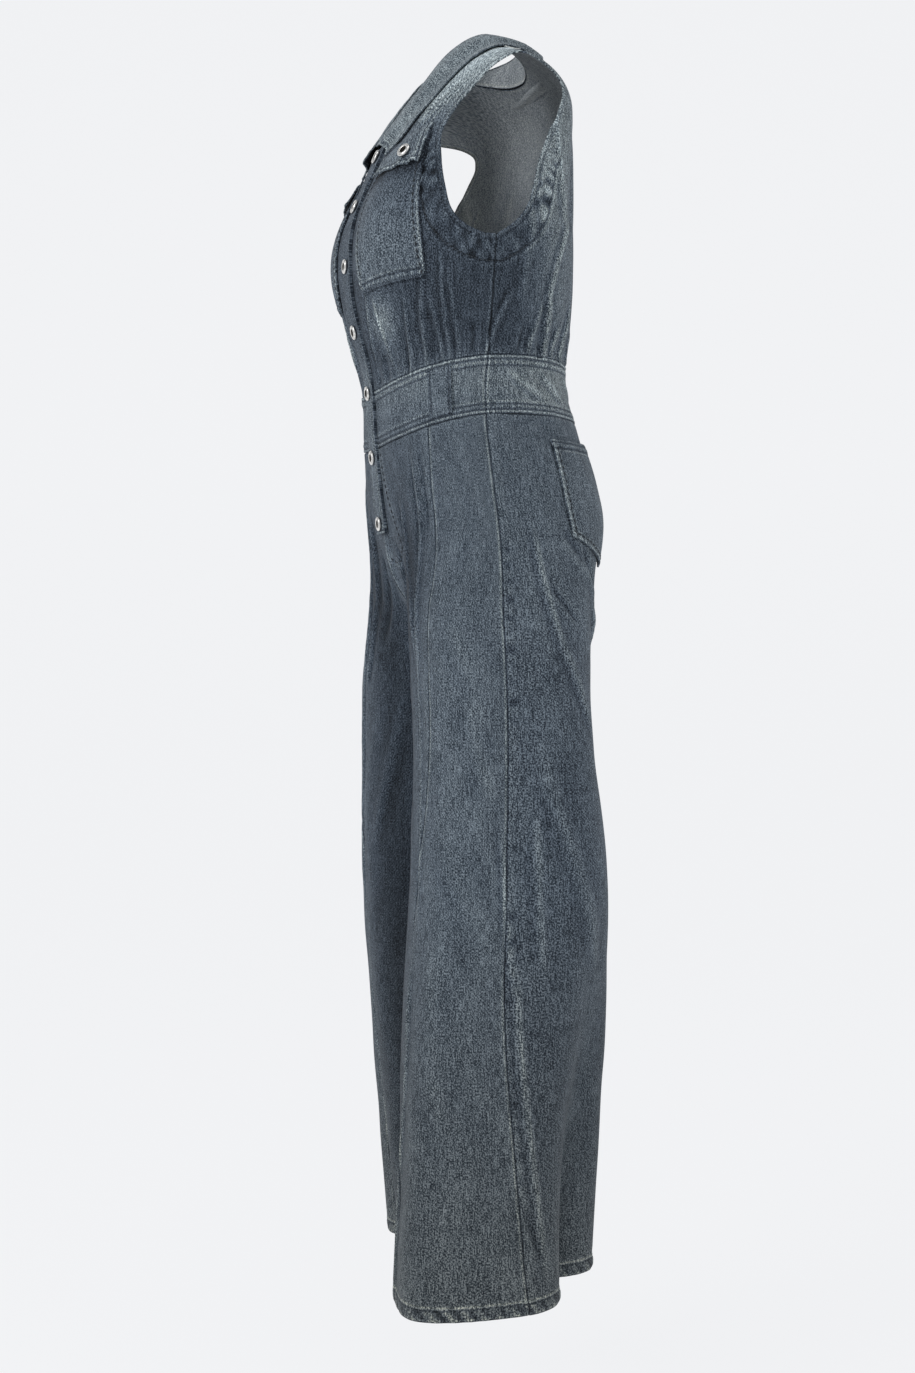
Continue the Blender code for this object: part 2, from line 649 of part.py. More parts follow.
# ---------------------------------------------------------------- placket and pockets
def placket():
    """The top band from the neck to the fly end, and the band under it that carries the buttons."""
    across = np.linspace(-1, 1, 4)[None, :] * PLACKET_HALF
    z = np.linspace(PLACKET_END_Z, PLACKET_TOP_Z, 25)[:, None]
    across, z = np.broadcast_arrays(across, z)
    points, normals = torso_patch(angle_at(across, z), z, np.full(z.shape, LAYER_GAP + 2 * WALL))
    grid_cloth("placket", points, normals, thickness=2 * WALL)
    z = np.linspace(hip_seam_z(0.0), PLACKET_TOP_Z - 0.006, 15)[:, None]
    z = np.broadcast_to(z, (15, 4))
    across = np.broadcast_to(across[0] * 0.9, z.shape)
    points, normals = torso_patch(angle_at(across, z), z, np.full(z.shape, -WALL - 2 * LAYER_GAP))
    grid_cloth("placket_under", points, normals)


def chest_pocket(side):
    share = np.sin(np.linspace(0, math.pi / 2, 9))[None, :]
    x = CHEST_POCKET_X[0] + (CHEST_POCKET_X[1] - CHEST_POCKET_X[0]) * share
    low = CHEST_POCKET_LOW_Z[0] + (CHEST_POCKET_LOW_Z[1] - CHEST_POCKET_LOW_Z[0]) * share
    low = low + CHEST_POCKET_CORNER * (np.minimum(share, 1 - share) < 0.01)
    z = low + (CHEST_POCKET_TOP_Z - low) * np.linspace(0, 1, 9)[:, None]
    x = np.broadcast_to(x, z.shape)
    lift = LAYER_GAP + CHEST_POCKET_LIFT + WALL
    points, normals = torso_patch(angle_at(x, z), z, np.full(z.shape, lift))
    grid_cloth("chest_pocket_" + side, points, normals, mirrored=side == "right")


def flap_lift(share):
    """How far the flap's outer face stands off the chest, from its sewn top edge to its free edge."""
    over_pocket = LAYER_GAP + WALL + CHEST_POCKET_LIFT
    return LAYER_GAP + WALL + over_pocket * smoothstep(share / FLAP_CLIMB) + FLAP_LIFT * share ** 1.5


def chest_flap(side):
    share = np.sin(np.linspace(0, math.pi / 2, 9))[None, :]
    x = FLAP_X[0] + (FLAP_X[1] - FLAP_X[0]) * share
    low = FLAP_LOW_Z - FLAP_POINT * (1 - np.abs(2 * share - 1))
    down = np.linspace(1, 0, 5)[:, None]
    z = FLAP_TOP_Z + (low - FLAP_TOP_Z) * down
    x, down = np.broadcast_to(x, z.shape), np.broadcast_to(down, z.shape)
    points, normals = torso_patch(angle_at(x, z), z, flap_lift(down))
    grid_cloth("chest_flap_" + side, points, normals, mirrored=side == "right")


def back_pocket(side):
    angle = math.pi - np.radians(np.linspace(BACK_POCKET_ANGLE[1], BACK_POCKET_ANGLE[0], 11))[None, :]
    share = np.linspace(-1, 1, 11)[None, :]
    low = BACK_POCKET_LOW_Z - BACK_POCKET_POINT * (1 - np.abs(share))
    z = low + (BACK_POCKET_TOP_Z - low) * np.linspace(0, 1, 7)[:, None]
    narrow = 1 - BACK_POCKET_TAPER * (BACK_POCKET_TOP_Z - z) / (BACK_POCKET_TOP_Z - BACK_POCKET_LOW_Z)
    middle = angle.mean()
    angle = middle + (angle - middle) * narrow
    girth = angle / math.pi
    normals = leg_normals("left", girth, z)
    points = leg("left", girth, z) + normals * (LAYER_GAP + BACK_POCKET_LIFT + WALL)
    grid_cloth("back_pocket_" + side, points, normals, mirrored=side == "right")


# ---------------------------------------------------------------- buttons
def button(name, place, normal):
    """A turned tack button: a round rim with a sunk middle."""
    profile = (
        (BUTTON_RADIUS * 0.92, 0.0),
        (BUTTON_RADIUS, BUTTON_HEIGHT * 0.45),
        (BUTTON_RADIUS * 0.80, BUTTON_HEIGHT),
        (BUTTON_RADIUS * 0.46, BUTTON_HEIGHT * 0.80),
        (BUTTON_RADIUS * 0.36, BUTTON_HEIGHT * 0.35),
    )
    turn = Vector((0, 0, 1)).rotation_difference(Vector(normal)).to_matrix()
    points = []
    for radius, height in profile:
        for i in range(BUTTON_SEGMENTS):
            around = 2 * math.pi * i / BUTTON_SEGMENTS
            points.append(Vector((radius * math.cos(around), radius * math.sin(around), height)))
    faces = grid_faces(len(profile), BUTTON_SEGMENTS, wrap=True)
    faces.append(tuple(reversed(range(BUTTON_SEGMENTS))))
    faces.append(tuple(range((len(profile) - 1) * BUTTON_SEGMENTS, len(profile) * BUTTON_SEGMENTS)))
    seat = Vector(place) + Vector(normal) * SEAM_GAP
    add_object(name, [turn @ point + seat for point in points], faces, STEEL, 0.9, 0.35)


def buttons():
    for number, z in enumerate(BUTTON_HEIGHTS, start=1):
        heights, x = np.array([[z]]), np.array([[0.0]])
        points, normals = torso_patch(angle_at(x, heights), heights, [[LAYER_GAP + 2 * WALL]])
        button("button_%d" % number, points[0, 0], normals[0, 0])
    x, z = np.array([[FLAP_BUTTON[0]]]), np.array([[FLAP_BUTTON[1]]])
    down = (FLAP_TOP_Z - z) / (FLAP_TOP_Z - FLAP_LOW_Z + FLAP_POINT * 0.8)
    points, normals = torso_patch(angle_at(x, z), z, flap_lift(down) + LAYER_GAP)
    for side, flip in (("left", 1.0), ("right", -1.0)):
        mirror = np.array((flip, 1.0, 1.0))
        button("flap_button_" + side, points[0, 0] * mirror, normals[0, 0] * mirror)


def main():
    for piece in list(bpy.data.objects):
        bpy.data.objects.remove(piece, do_unlink=True)
    for side in ("left", "right"):
        bodice_front(side)
    bodice_back()
    collar()
    waistband("waistband_front_left", 0, 90, 13)
    waistband("waistband_front_right", -90, 0, 13)
    waistband("waistband_back", 90, 270, 24)
    legs()
    placket()
    for side in ("left", "right"):
        waist_tab(side)
        hem(side)
        chest_pocket(side)
        chest_flap(side)
        back_pocket(side)
    buttons()


main()
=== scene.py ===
"""Looks of a sleeveless wide-leg denim jumpsuit: cloth shells with folds, seams, sewing and buttons.

Metres, +Z up, +X the wearer's left, -Y the front. Each cloth piece is built again as a fine grid on the
master surface of its solid, torso() above the crotch and leg() below the waistband, with gathers, creases
and puckers. Angles in tables are degrees from the centre front, at the back armhole from the centre back.
"""
import math
from functools import partial

import bpy
import numpy as np
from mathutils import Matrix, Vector


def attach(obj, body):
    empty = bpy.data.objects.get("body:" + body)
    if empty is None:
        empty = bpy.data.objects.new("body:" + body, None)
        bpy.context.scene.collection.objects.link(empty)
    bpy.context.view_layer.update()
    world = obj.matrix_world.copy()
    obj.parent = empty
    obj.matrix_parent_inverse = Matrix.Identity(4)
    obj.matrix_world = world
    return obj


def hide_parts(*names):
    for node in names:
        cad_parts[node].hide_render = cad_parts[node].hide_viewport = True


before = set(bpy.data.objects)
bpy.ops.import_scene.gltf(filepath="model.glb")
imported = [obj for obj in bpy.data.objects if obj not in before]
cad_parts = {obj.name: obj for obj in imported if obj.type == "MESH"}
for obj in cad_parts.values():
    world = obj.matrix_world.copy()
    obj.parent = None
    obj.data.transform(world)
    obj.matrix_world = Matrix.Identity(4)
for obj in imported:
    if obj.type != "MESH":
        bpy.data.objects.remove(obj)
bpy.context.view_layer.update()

# ---------------------------------------------------------------- cloth and heights, as in the solids
WALL = 0.0014
SEAM_GAP = 0.0003
LAYER_GAP = 0.0008
NECK_X = 0.070
SHOULDER_Y = 0.012
SHOULDER_SLOPE = 0.40
FRONT_ROLL_Z = -0.135
BACK_ROLL_Z = -0.085
NECK_FRONT_Z = -0.116
NECK_BACK_Z = -0.020
ARMPIT_Z = -0.2405
WAIST_Z = -0.365
WAIST_DIP = 0.029
WAISTBAND_HEIGHT = 0.065
CROTCH_TOP_Z = -0.560
CROTCH_Z = -0.662
HEM_Z = -1.408
HEM_HEIGHT = 0.017
HEM_RISE = 0.011             # at the back of the leg
TORSO_GIRTH = 0.155          # metres of cloth for each radian round the torso
LEG_GIRTH = 0.64             # metres once round a leg

TORSO = (
    ("z", "half_width", "front", "back", "side_y", "squareness"),
    (-0.700, 0.184, 0.091, 0.126, -0.012, 2.4),
    (-0.620, 0.184, 0.094, 0.146, -0.012, 2.4),
    (-0.560, 0.179, 0.096, 0.155, -0.014, 2.4),
    (-0.500, 0.168, 0.102, 0.144, -0.018, 2.4),
    (-0.440, 0.156, 0.108, 0.127, -0.021, 2.3),
    (-0.400, 0.150, 0.110, 0.115, -0.020, 2.3),
    (-0.366, 0.149, 0.115, 0.111, -0.017, 2.3),
    (-0.320, 0.156, 0.128, 0.115, -0.015, 2.4),
    (-0.250, 0.164, 0.137, 0.117, -0.013, 2.5),
    (-0.200, 0.173, 0.132, 0.114, -0.013, 2.5),
    (-0.140, 0.186, 0.108, 0.109, -0.013, 2.5),
    (-0.080, 0.190, 0.085, 0.108, -0.010, 2.5),
    (-0.050, 0.190, 0.074, 0.104, -0.007, 2.5),
    (0.030, 0.190, 0.056, 0.060, 0.000, 2.5),
)
LEG = (
    ("z", "centre_x", "half_width", "front", "back", "side_y", "squareness", "step"),
    (-1.408, 0.0990, 0.0790, 0.081, 0.166, 0.047, 2.7, 0.026),
    (-1.250, 0.0980, 0.0790, 0.085, 0.162, 0.021, 2.6, 0.015),
    (-1.080, 0.0965, 0.0810, 0.090, 0.155, -0.003, 2.5, 0.004),
    (-0.960, 0.0955, 0.0840, 0.0895, 0.141, -0.010, 2.4, -0.004),
    (-0.800, 0.0945, 0.0890, 0.0870, 0.113, -0.012, 2.4, -0.0065),
    (-0.700, 0.0938, 0.0915, 0.0885, 0.114, -0.012, 2.4, -0.004),
    (-0.640, 0.0934, 0.0927, 0.0920, 0.132, -0.012, 2.4, 0.000),
)
BLEND_TOP_Z = -0.52
BLEND_HEIGHT = 0.22
INSEAM_REACH = 0.12
# Girth 0 is the inseam, 0.25 the front, 0.5 the side seam, 0.75 the back.
FRONT_SEAM = (
    ("z", "girth"),
    (-1.408, 0.250),
    (-1.200, 0.255),
    (-0.980, 0.266),
    (-0.750, 0.312),
    (-0.620, 0.286),
    (-0.520, 0.262),
    (-0.440, 0.283),
)
ARMPIT_V = 0.32
NECK_V = 0.62
ARMHOLE_FRONT = (
    ("v", "angle", "z"),
    (0.32, 90.0, ARMPIT_Z),
    (0.35, 84.0, -0.2400),
    (0.39, 75.5, -0.2335),
    (0.45, 68.0, -0.2190),
    (0.53, 62.5, -0.1920),
    (0.62, 56.8, -0.1620),
    (0.70, 52.8, -0.1350),
    (0.79, 56.0, -0.1070),
    (0.88, 60.5, -0.0810),
    (0.95, 62.5, -0.0600),
    (1.00, 67.3, -0.0468),
)
ARMHOLE_BACK = (
    ("v", "angle", "z"),
    (0.32, 90.0, ARMPIT_Z),
    (0.36, 83.5, -0.2310),
    (0.45, 75.0, -0.2100),
    (0.54, 71.5, -0.1860),
    (0.64, 69.0, -0.1600),
    (0.74, 63.0, -0.1280),
    (0.83, 57.0, -0.1020),
    (0.90, 52.5, -0.0780),
    (0.95, 52.5, -0.0620),
    (0.98, 58.0, -0.0530),
    (1.00, 67.3, -0.0468),
)
NECKLINE_FRONT = (
    ("v", "x", "z"),
    (0.62, 0.000, NECK_FRONT_Z),
    (0.72, 0.020, -0.096),
    (0.82, 0.042, -0.066),
    (0.91, 0.058, -0.034),
    (0.96, 0.065, -0.016),
    (1.00, NECK_X, -0.002),
)
BUST_ANGLE = 32.0
BUST_Z = -0.232
BUST_FULLNESS = 0.0075
BUST_SPREAD = (19.0, 0.050)
GATHER_HOLD = 0.006
GATHERS = (
    ("angle", "height", "depth", "width"),
    (14.0, 0.050, 0.0035, 2.2),
    (23.0, 0.075, 0.0045, 2.6),
    (31.0, 0.045, 0.0040, 2.2),
    (39.0, 0.085, 0.0050, 2.6),
    (47.0, 0.050, 0.0040, 2.2),
    (56.0, 0.065, 0.0045, 2.6),
    (68.0, 0.045, 0.0035, 2.6),
    (110.0, 0.050, 0.0040, 2.6),
    (119.0, 0.080, 0.0050, 2.6),
    (128.0, 0.050, 0.0040, 2.4),
    (137.0, 0.070, 0.0050, 2.6),
    (147.0, 0.045, 0.0035, 2.4),
    (157.0, 0.075, 0.0045, 2.8),
    (169.0, 0.050, 0.0040, 2.6),
)
LEG_FOLDS = {
    "left": (
        ("girth", "top_z", "depth", "width", "drift"),
        (0.660, -0.840, 0.072, 0.088, 0.000),
        (0.350, -0.800, -0.012, 0.060, 0.000),
        (0.110, -0.900, 0.016, 0.045, 0.010),
        (0.880, -0.950, 0.018, 0.045, -0.010),
    ),
    "right": (
        ("girth", "top_z", "depth", "width", "drift"),
        (0.650, -0.900, 0.046, 0.050, 0.010),
        (0.350, -0.850, -0.008, 0.050, 0.000),
        (0.300, -0.760, 0.008, 0.030, -0.020),
        (0.550, -1.020, -0.008, 0.035, 0.000),
        (0.120, -0.880, 0.014, 0.045, 0.015),
        (0.870, -0.960, 0.020, 0.050, -0.010),
    ),
}
NECKLINE_TURN = 0.42
COLLAR_FOLD = (
    ("turn", "x", "y", "z"),
    (0.00, 0.000, 0.074, 0.019),
    (0.18, 0.038, 0.062, 0.013),
    (0.30, 0.056, 0.034, 0.006),
    (0.40, 0.065, 0.008, 0.009),
    (0.47, 0.064, -0.010, 0.003),
    (0.56, 0.060, -0.034, -0.014),
    (0.66, 0.050, -0.058, -0.043),
    (0.77, 0.034, -0.081, -0.076),
    (0.86, 0.017, -0.101, -0.104),
)
COLLAR_EDGE = (
    ("turn", "x", "y", "z"),
    (0.00, 0.000, 0.110, -0.032),
    (0.18, 0.060, 0.099, -0.034),
    (0.30, 0.104, 0.052, -0.018),
    (0.40, 0.131, -0.012, -0.028),
    (0.47, 0.128, -0.031, -0.041),
    (0.56, 0.126, -0.056, -0.066),
    (0.66, 0.117, -0.075, -0.089),
    (0.77, 0.089, -0.099, -0.122),
    (0.86, 0.055, -0.109, -0.134),
)
COLLAR_BULGE = 0.005
COLLAR_LIES = 0.0034           # the fall's outer face above the shoulder
COLLAR_END_TURN = 0.86
COLLAR_GAP = 0.0012
FOLD_CLEARANCE = (0.0016, 0.0006)
PLACKET_HALF = 0.0175
PLACKET_TOP_Z = -0.113
PLACKET_END_Z = -0.556
BUTTON_HEIGHTS = (-0.123, -0.182, -0.250, -0.324, -0.394, -0.468, -0.544)
BUTTON_RADIUS = 0.0083
BUTTON_HEIGHT = 0.0030
CHEST_POCKET_X = (0.050, 0.1455)
CHEST_POCKET_TOP_Z = -0.130
CHEST_POCKET_LIFT = 0.0006
CHEST_POCKET_LOW_Z = (-0.292, -0.2865)
FLAP_X = (0.060, 0.146)
FLAP_TOP_Z = -0.121
FLAP_LOW_Z = -0.165
FLAP_POINT = 0.007
FLAP_LIFT = 0.0045
FLAP_CLIMB = 0.25
FLAP_BUTTON = (0.122, -0.151)
FLAP_BUTTON_TILT = (0.18, -0.03, 0.26)
BACK_POCKET_ANGLE = (12.5, 61.5)   # inner and outer edge, from the centre back
BACK_POCKET_TOP_Z = -0.458
BACK_POCKET_LOW_Z = -0.566
BACK_POCKET_POINT = 0.030
BACK_POCKET_LIFT = 0.0005
TAB_ANGLE = 59.8
TAB_HALF_ANGLE = 7.2
TAB_MARGIN = 0.006

# ---------------------------------------------------------------- fine grids
BODICE = 0.0028              # spacing on the bodice
FINE = 0.0026                # on the collar and the placket
LEG_ACROSS = 0.0032
LEG_UP = 0.0070
BAND = 0.0018                # on the waistband and the pockets
# Distances from an edge at which a grid has extra lines: a plain edge, and one with rows of topstitching.
EDGE_OFFSETS = (0.0005, 0.0013, 0.0023, 0.0040)
SEWN_OFFSETS = (
    0.0005, 0.0013, 0.0022, 0.0032, 0.0043, 0.0056, 0.0070, 0.0083, 0.0095, 0.0107, 0.0120, 0.0134,
)
# Rough lengths along the cloth that the grids divide; a pair is across and up.
BODICE_RUN = 0.240
SIDE_SEAM_RUN = 0.125
ARMHOLE_RUN = 0.240
COLLAR_RUN = 0.30
STAND_RUN = 0.032
FALL_RUN = 0.062
TAB_RUN = (0.036, 0.053)
PLACKET_RUN = 0.47
RISE_RUN = 0.130
HEM_BAND = 0.022
CHEST_POCKET_RUN = (0.110, 0.165)
FLAP_RUN = (0.100, 0.040)
BACK_POCKET_RUN = (0.120, 0.130)

# ---------------------------------------------------------------- rows of stitches, metres from their edge
ARMHOLE_ROWS = (0.0030, 0.0290)     # the bound edge, and the facing behind it
NECK_ROW = 0.0030
COLLAR_ROW = 0.0055
WAIST_HIGH_ROWS = (0.0043, 0.0120)
WAIST_LOW_ROWS = (0.0043, 0.0107)
TAB_ROW = 0.0032
HEM_GROOVE = 0.0140
HEM_ROW = 0.0150
HEM_LIGHT = 0.0154
PLACKET_ROW = 0.0040
FLAP_ROW = 0.0060
BOLD_ROW = 0.0070
CHEST_POCKET_ROWS = (0.0022, 0.0095)
BACK_POCKET_ROWS = (0.0032, 0.0107)

# ---------------------------------------------------------------- creases
# A crease runs from (a0, z0) to (a1, z1), on the torso in degrees, on a leg in girth. Height above 0 is a
# ridge, below 0 a trough; bow bends it sideways in metres.
TORSO_CREASES = (
    ("a0", "z0", "a1", "z1", "height", "width", "bow"),
    (28.0, -0.235, 13.0, -0.375, 0.0014, 0.0035, 0.004),
    (25.0, -0.300, 31.5, -0.390, 0.0016, 0.0030, 0.002),
    (45.0, -0.305, 41.5, -0.386, 0.0014, 0.0032, 0.000),
    (54.5, -0.285, 52.5, -0.380, 0.0020, 0.0032, 0.003),
    (56.5, -0.305, 62.0, -0.377, 0.0018, 0.0030, -0.002),
    (63.5, -0.262, 66.0, -0.374, 0.0016, 0.0032, 0.002),
    (67.0, -0.280, 72.5, -0.371, 0.0014, 0.0030, 0.001),
    (80.0, -0.335, 80.0, -0.368, -0.0016, 0.0026, 0.000),
    (100.0, -0.298, 88.5, -0.366, 0.0018, 0.0032, 0.002),
    (108.5, -0.332, 105.5, -0.366, -0.0018, 0.0030, 0.000),
    (134.0, -0.215, 120.5, -0.300, 0.0018, 0.0040, 0.004),
    (121.0, -0.290, 122.5, -0.370, 0.0020, 0.0036, -0.002),
    (117.0, -0.310, 112.0, -0.362, 0.0014, 0.0030, 0.001),
    (123.5, -0.335, 118.0, -0.368, -0.0016, 0.0030, 0.000),
    (110.0, -0.225, 105.5, -0.310, 0.0012, 0.0070, 0.003),
    (118.0, -0.095, 131.0, -0.225, 0.0012, 0.0060, -0.004),
    (131.0, -0.330, 128.0, -0.368, 0.0014, 0.0030, 0.000),
    (143.0, -0.300, 139.0, -0.368, 0.0016, 0.0034, 0.002),
    (152.0, -0.325, 153.0, -0.368, 0.0014, 0.0030, 0.000),
    (163.0, -0.290, 160.0, -0.368, 0.0016, 0.0034, -0.002),
    (174.0, -0.320, 172.0, -0.368, 0.0014, 0.0030, 0.000),
    (150.0, -0.110, 140.0, -0.230, 0.0012, 0.0080, 0.006),
    (168.0, -0.130, 160.0, -0.260, 0.0010, 0.0080, -0.004),
    (102.0, -0.386, 121.0, -0.410, 0.0008, 0.0040, 0.002),
    (119.0, -0.380, 136.0, -0.411, 0.0009, 0.0040, 0.002),
    (140.0, -0.383, 158.0, -0.404, 0.0007, 0.0045, 0.001),
    (46.0, -0.070, 34.5, -0.121, 0.0012, 0.0026, 0.002),
    (50.0, -0.080, 38.5, -0.123, 0.0012, 0.0024, 0.002),
    (54.5, -0.074, 43.5, -0.120, 0.0010, 0.0026, 0.001),
)
LEG_CREASES = {
    "left": (
        ("a0", "z0", "a1", "z1", "height", "width", "bow"),
        (0.208, -0.475, 0.214, -0.600, 0.0020, 0.0045, 0.000),
        (0.214, -0.590, 0.262, -0.705, 0.0022, 0.0045, 0.002),
        (0.262, -0.690, 0.285, -0.980, 0.0016, 0.0040, 0.000),
        (0.130, -0.525, 0.163, -0.620, 0.0022, 0.0050, 0.002),
        (0.163, -0.605, 0.252, -0.710, 0.0022, 0.0045, -0.002),
        (0.236, -0.470, 0.240, -0.560, -0.0012, 0.0050, 0.000),
        (0.060, -0.570, 0.150, -0.660, -0.0026, 0.0070, 0.004),
        (0.090, -0.600, 0.200, -0.740, -0.0022, 0.0080, 0.004),
        (0.570, -0.560, 0.600, -0.705, 0.0015, 0.0040, 0.006),
        (0.598, -0.690, 0.660, -0.775, 0.0017, 0.0042, 0.003),
        (0.584, -0.622, 0.627, -0.658, -0.0026, 0.0028, 0.001),
        (0.690, -0.575, 0.740, -0.625, -0.0034, 0.0060, 0.002),
        (0.640, -0.560, 0.700, -0.600, -0.0018, 0.0060, 0.002),
        (0.485, -0.880, 0.515, -1.080, 0.0012, 0.0036, 0.000),
        (0.515, -1.050, 0.534, -1.360, 0.0020, 0.0032, 0.002),
        (0.540, -0.870, 0.548, -1.040, 0.0010, 0.0040, 0.002),
        (0.552, -0.800, 0.660, -1.050, 0.0013, 0.0090, 0.006),
        (0.415, -0.740, 0.460, -0.850, 0.0010, 0.0120, 0.003),
        (0.370, -0.660, 0.450, -0.780, 0.0008, 0.0130, -0.004),
        (0.270, -1.040, 0.277, -1.175, 0.0026, 0.0034, 0.000),
        (0.277, -1.160, 0.241, -1.300, 0.0026, 0.0034, 0.000),
        (0.241, -1.285, 0.235, -1.404, 0.0020, 0.0034, 0.000),
        (0.508, -1.300, 0.530, -1.352, -0.0024, 0.0030, 0.000),
        (0.700, -0.640, 0.800, -0.720, 0.0024, 0.0070, 0.004),
        (0.720, -0.690, 0.860, -0.740, -0.0022, 0.0080, 0.004),
        (0.900, -0.680, 0.800, -0.800, 0.0018, 0.0080, -0.004),
        (0.100, -0.760, 0.180, -0.900, 0.0014, 0.0100, 0.004),
        (0.950, -0.900, 0.900, -1.080, 0.0016, 0.0090, 0.000),
        (0.350, -1.000, 0.380, -1.200, 0.0008, 0.0140, 0.000),
    ),
    "right": (
        ("a0", "z0", "a1", "z1", "height", "width", "bow"),
        (0.205, -0.485, 0.216, -0.610, 0.0020, 0.0045, 0.001),
        (0.216, -0.600, 0.270, -0.720, 0.0020, 0.0045, 0.002),
        (0.270, -0.700, 0.292, -1.010, 0.0016, 0.0042, 0.000),
        (0.120, -0.530, 0.170, -0.640, 0.0022, 0.0050, 0.002),
        (0.170, -0.625, 0.240, -0.730, 0.0020, 0.0045, -0.002),
        (0.070, -0.575, 0.155, -0.675, -0.0024, 0.0070, 0.004),
        (0.575, -0.570, 0.610, -0.720, 0.0020, 0.0050, 0.005),
        (0.605, -0.700, 0.665, -0.800, 0.0020, 0.0050, 0.003),
        (0.590, -0.640, 0.635, -0.672, -0.0020, 0.0030, 0.001),
        (0.690, -0.578, 0.735, -0.622, -0.0030, 0.0060, 0.002),
        (0.500, -0.940, 0.530, -1.200, 0.0022, 0.0060, 0.000),
        (0.545, -0.850, 0.640, -1.060, 0.0020, 0.0090, 0.006),
        (0.400, -0.720, 0.450, -0.860, 0.0012, 0.0110, 0.003),
        (0.710, -0.650, 0.810, -0.735, 0.0022, 0.0075, 0.004),
        (0.890, -0.670, 0.800, -0.790, 0.0018, 0.0080, -0.004),
        (0.105, -0.740, 0.190, -0.920, 0.0014, 0.0100, 0.004),
        (0.340, -0.980, 0.375, -1.180, 0.0010, 0.0140, 0.000),
        (0.272, -1.080, 0.268, -1.230, 0.0018, 0.0034, 0.000),
        (0.268, -1.215, 0.244, -1.400, 0.0018, 0.0034, 0.001),
    ),
}
# Small dents that the side seam's allowance draws in the back panel, by height.
SEAM_DENTS = (
    -0.584, -0.600, -0.617, -0.636, -0.656, -0.672, -0.690, -0.707, -0.728, -0.746, -0.764, -0.978,
    -1.004, -1.024, -1.049, -1.066, -1.091, -1.112, -1.136, -1.158, -1.181, -1.207, -1.235, -1.262,
)
CREASE_SCALE = 1.5
WEAR_AND_SHADE_WIDTH = 0.0016

random = np.random.default_rng(7)


# ---------------------------------------------------------------- master surfaces
def column(table, name, at):
    """One column of a table, read smoothly at the values `at` of its first column."""
    names, rows = table[0], np.array(table[1:], dtype=float)
    known, values = rows[:, 0], rows[:, names.index(name)]
    slopes = np.gradient(values, known)
    at = np.clip(np.asarray(at, dtype=float), known[0], known[-1])
    low = np.clip(np.searchsorted(known, at) - 1, 0, len(known) - 2)
    span = known[low + 1] - known[low]
    t = (at - known[low]) / span
    rise = values[low + 1] - values[low]
    lift = slopes[low] * span
    fall = slopes[low + 1] * span
    return values[low] + t * (lift + t * (3 * rise - 2 * lift - fall + t * (lift + fall - 2 * rise)))


def smoothstep(t):
    t = np.clip(t, 0.0, 1.0)
    return t * t * (3 - 2 * t)


def bump_at(distance, at, width):
    return np.exp(-(((distance - at) / width) ** 2))


def shoulder_z(x):
    return -0.002 - (np.abs(x) - NECK_X) * SHOULDER_SLOPE


def waist_seam_z(angle):
    return WAIST_Z - WAIST_DIP * ((1 + np.cos(angle)) / 2) ** 3


def hip_seam_z(angle):
    return waist_seam_z(angle) - WAISTBAND_HEIGHT


def gather_hold(above, height):
    """How much of a gather shows at a distance above the waist seam, which holds it flat."""
    return smoothstep((above + GATHER_HOLD) / (3 * GATHER_HOLD)) * (1 - smoothstep(above / height))


def superellipse(angle, squareness):
    side, ahead = np.sin(angle), np.cos(angle)
    reach = (np.abs(side) ** squareness + np.abs(ahead) ** squareness) ** (1 / squareness)
    return side / reach, ahead / reach


def angle_at(x, z):
    """Angle from the centre front of the point of the torso's front at a distance x from the middle."""
    squareness = column(TORSO, "squareness", z)
    side = np.clip(np.abs(x) / column(TORSO, "half_width", z), 0, 1)
    return np.sign(x) * np.arctan2(side, (1 - side ** squareness) ** (1 / squareness))


def torso(angle, z):
    """Point of the body's outer surface at an angle from the centre front and a height."""
    angle, z = np.broadcast_arrays(np.asarray(angle, dtype=float), np.asarray(z, dtype=float))
    side, ahead = superellipse(angle, column(TORSO, "squareness", z))
    side_y = column(TORSO, "side_y", z)
    front = column(TORSO, "front", z) + side_y
    back = column(TORSO, "back", z) - side_y
    x = column(TORSO, "half_width", z) * side
    y = side_y - np.where(ahead > 0, front, back) * ahead
    roll_z = np.where(ahead > 0, FRONT_ROLL_Z, BACK_ROLL_Z)
    rise = np.clip((z - roll_z) / (shoulder_z(x) - roll_z), 0, 1)
    y = SHOULDER_Y + (y - SHOULDER_Y) * np.sqrt(1 - rise ** 2)
    degrees = np.degrees(np.abs(angle))
    above = z - waist_seam_z(angle)
    around = (degrees - BUST_ANGLE) / BUST_SPREAD[0]
    relief = BUST_FULLNESS * np.exp(-around ** 2 - ((z - BUST_Z) / BUST_SPREAD[1]) ** 2)
    for at, height, depth, width in GATHERS[1:]:
        held = gather_hold(above, height)
        relief = relief - depth * np.exp(-(((degrees - at) / width) ** 2)) * held
    return np.stack((x + relief * np.sin(angle), y - relief * np.cos(angle), z), axis=-1)


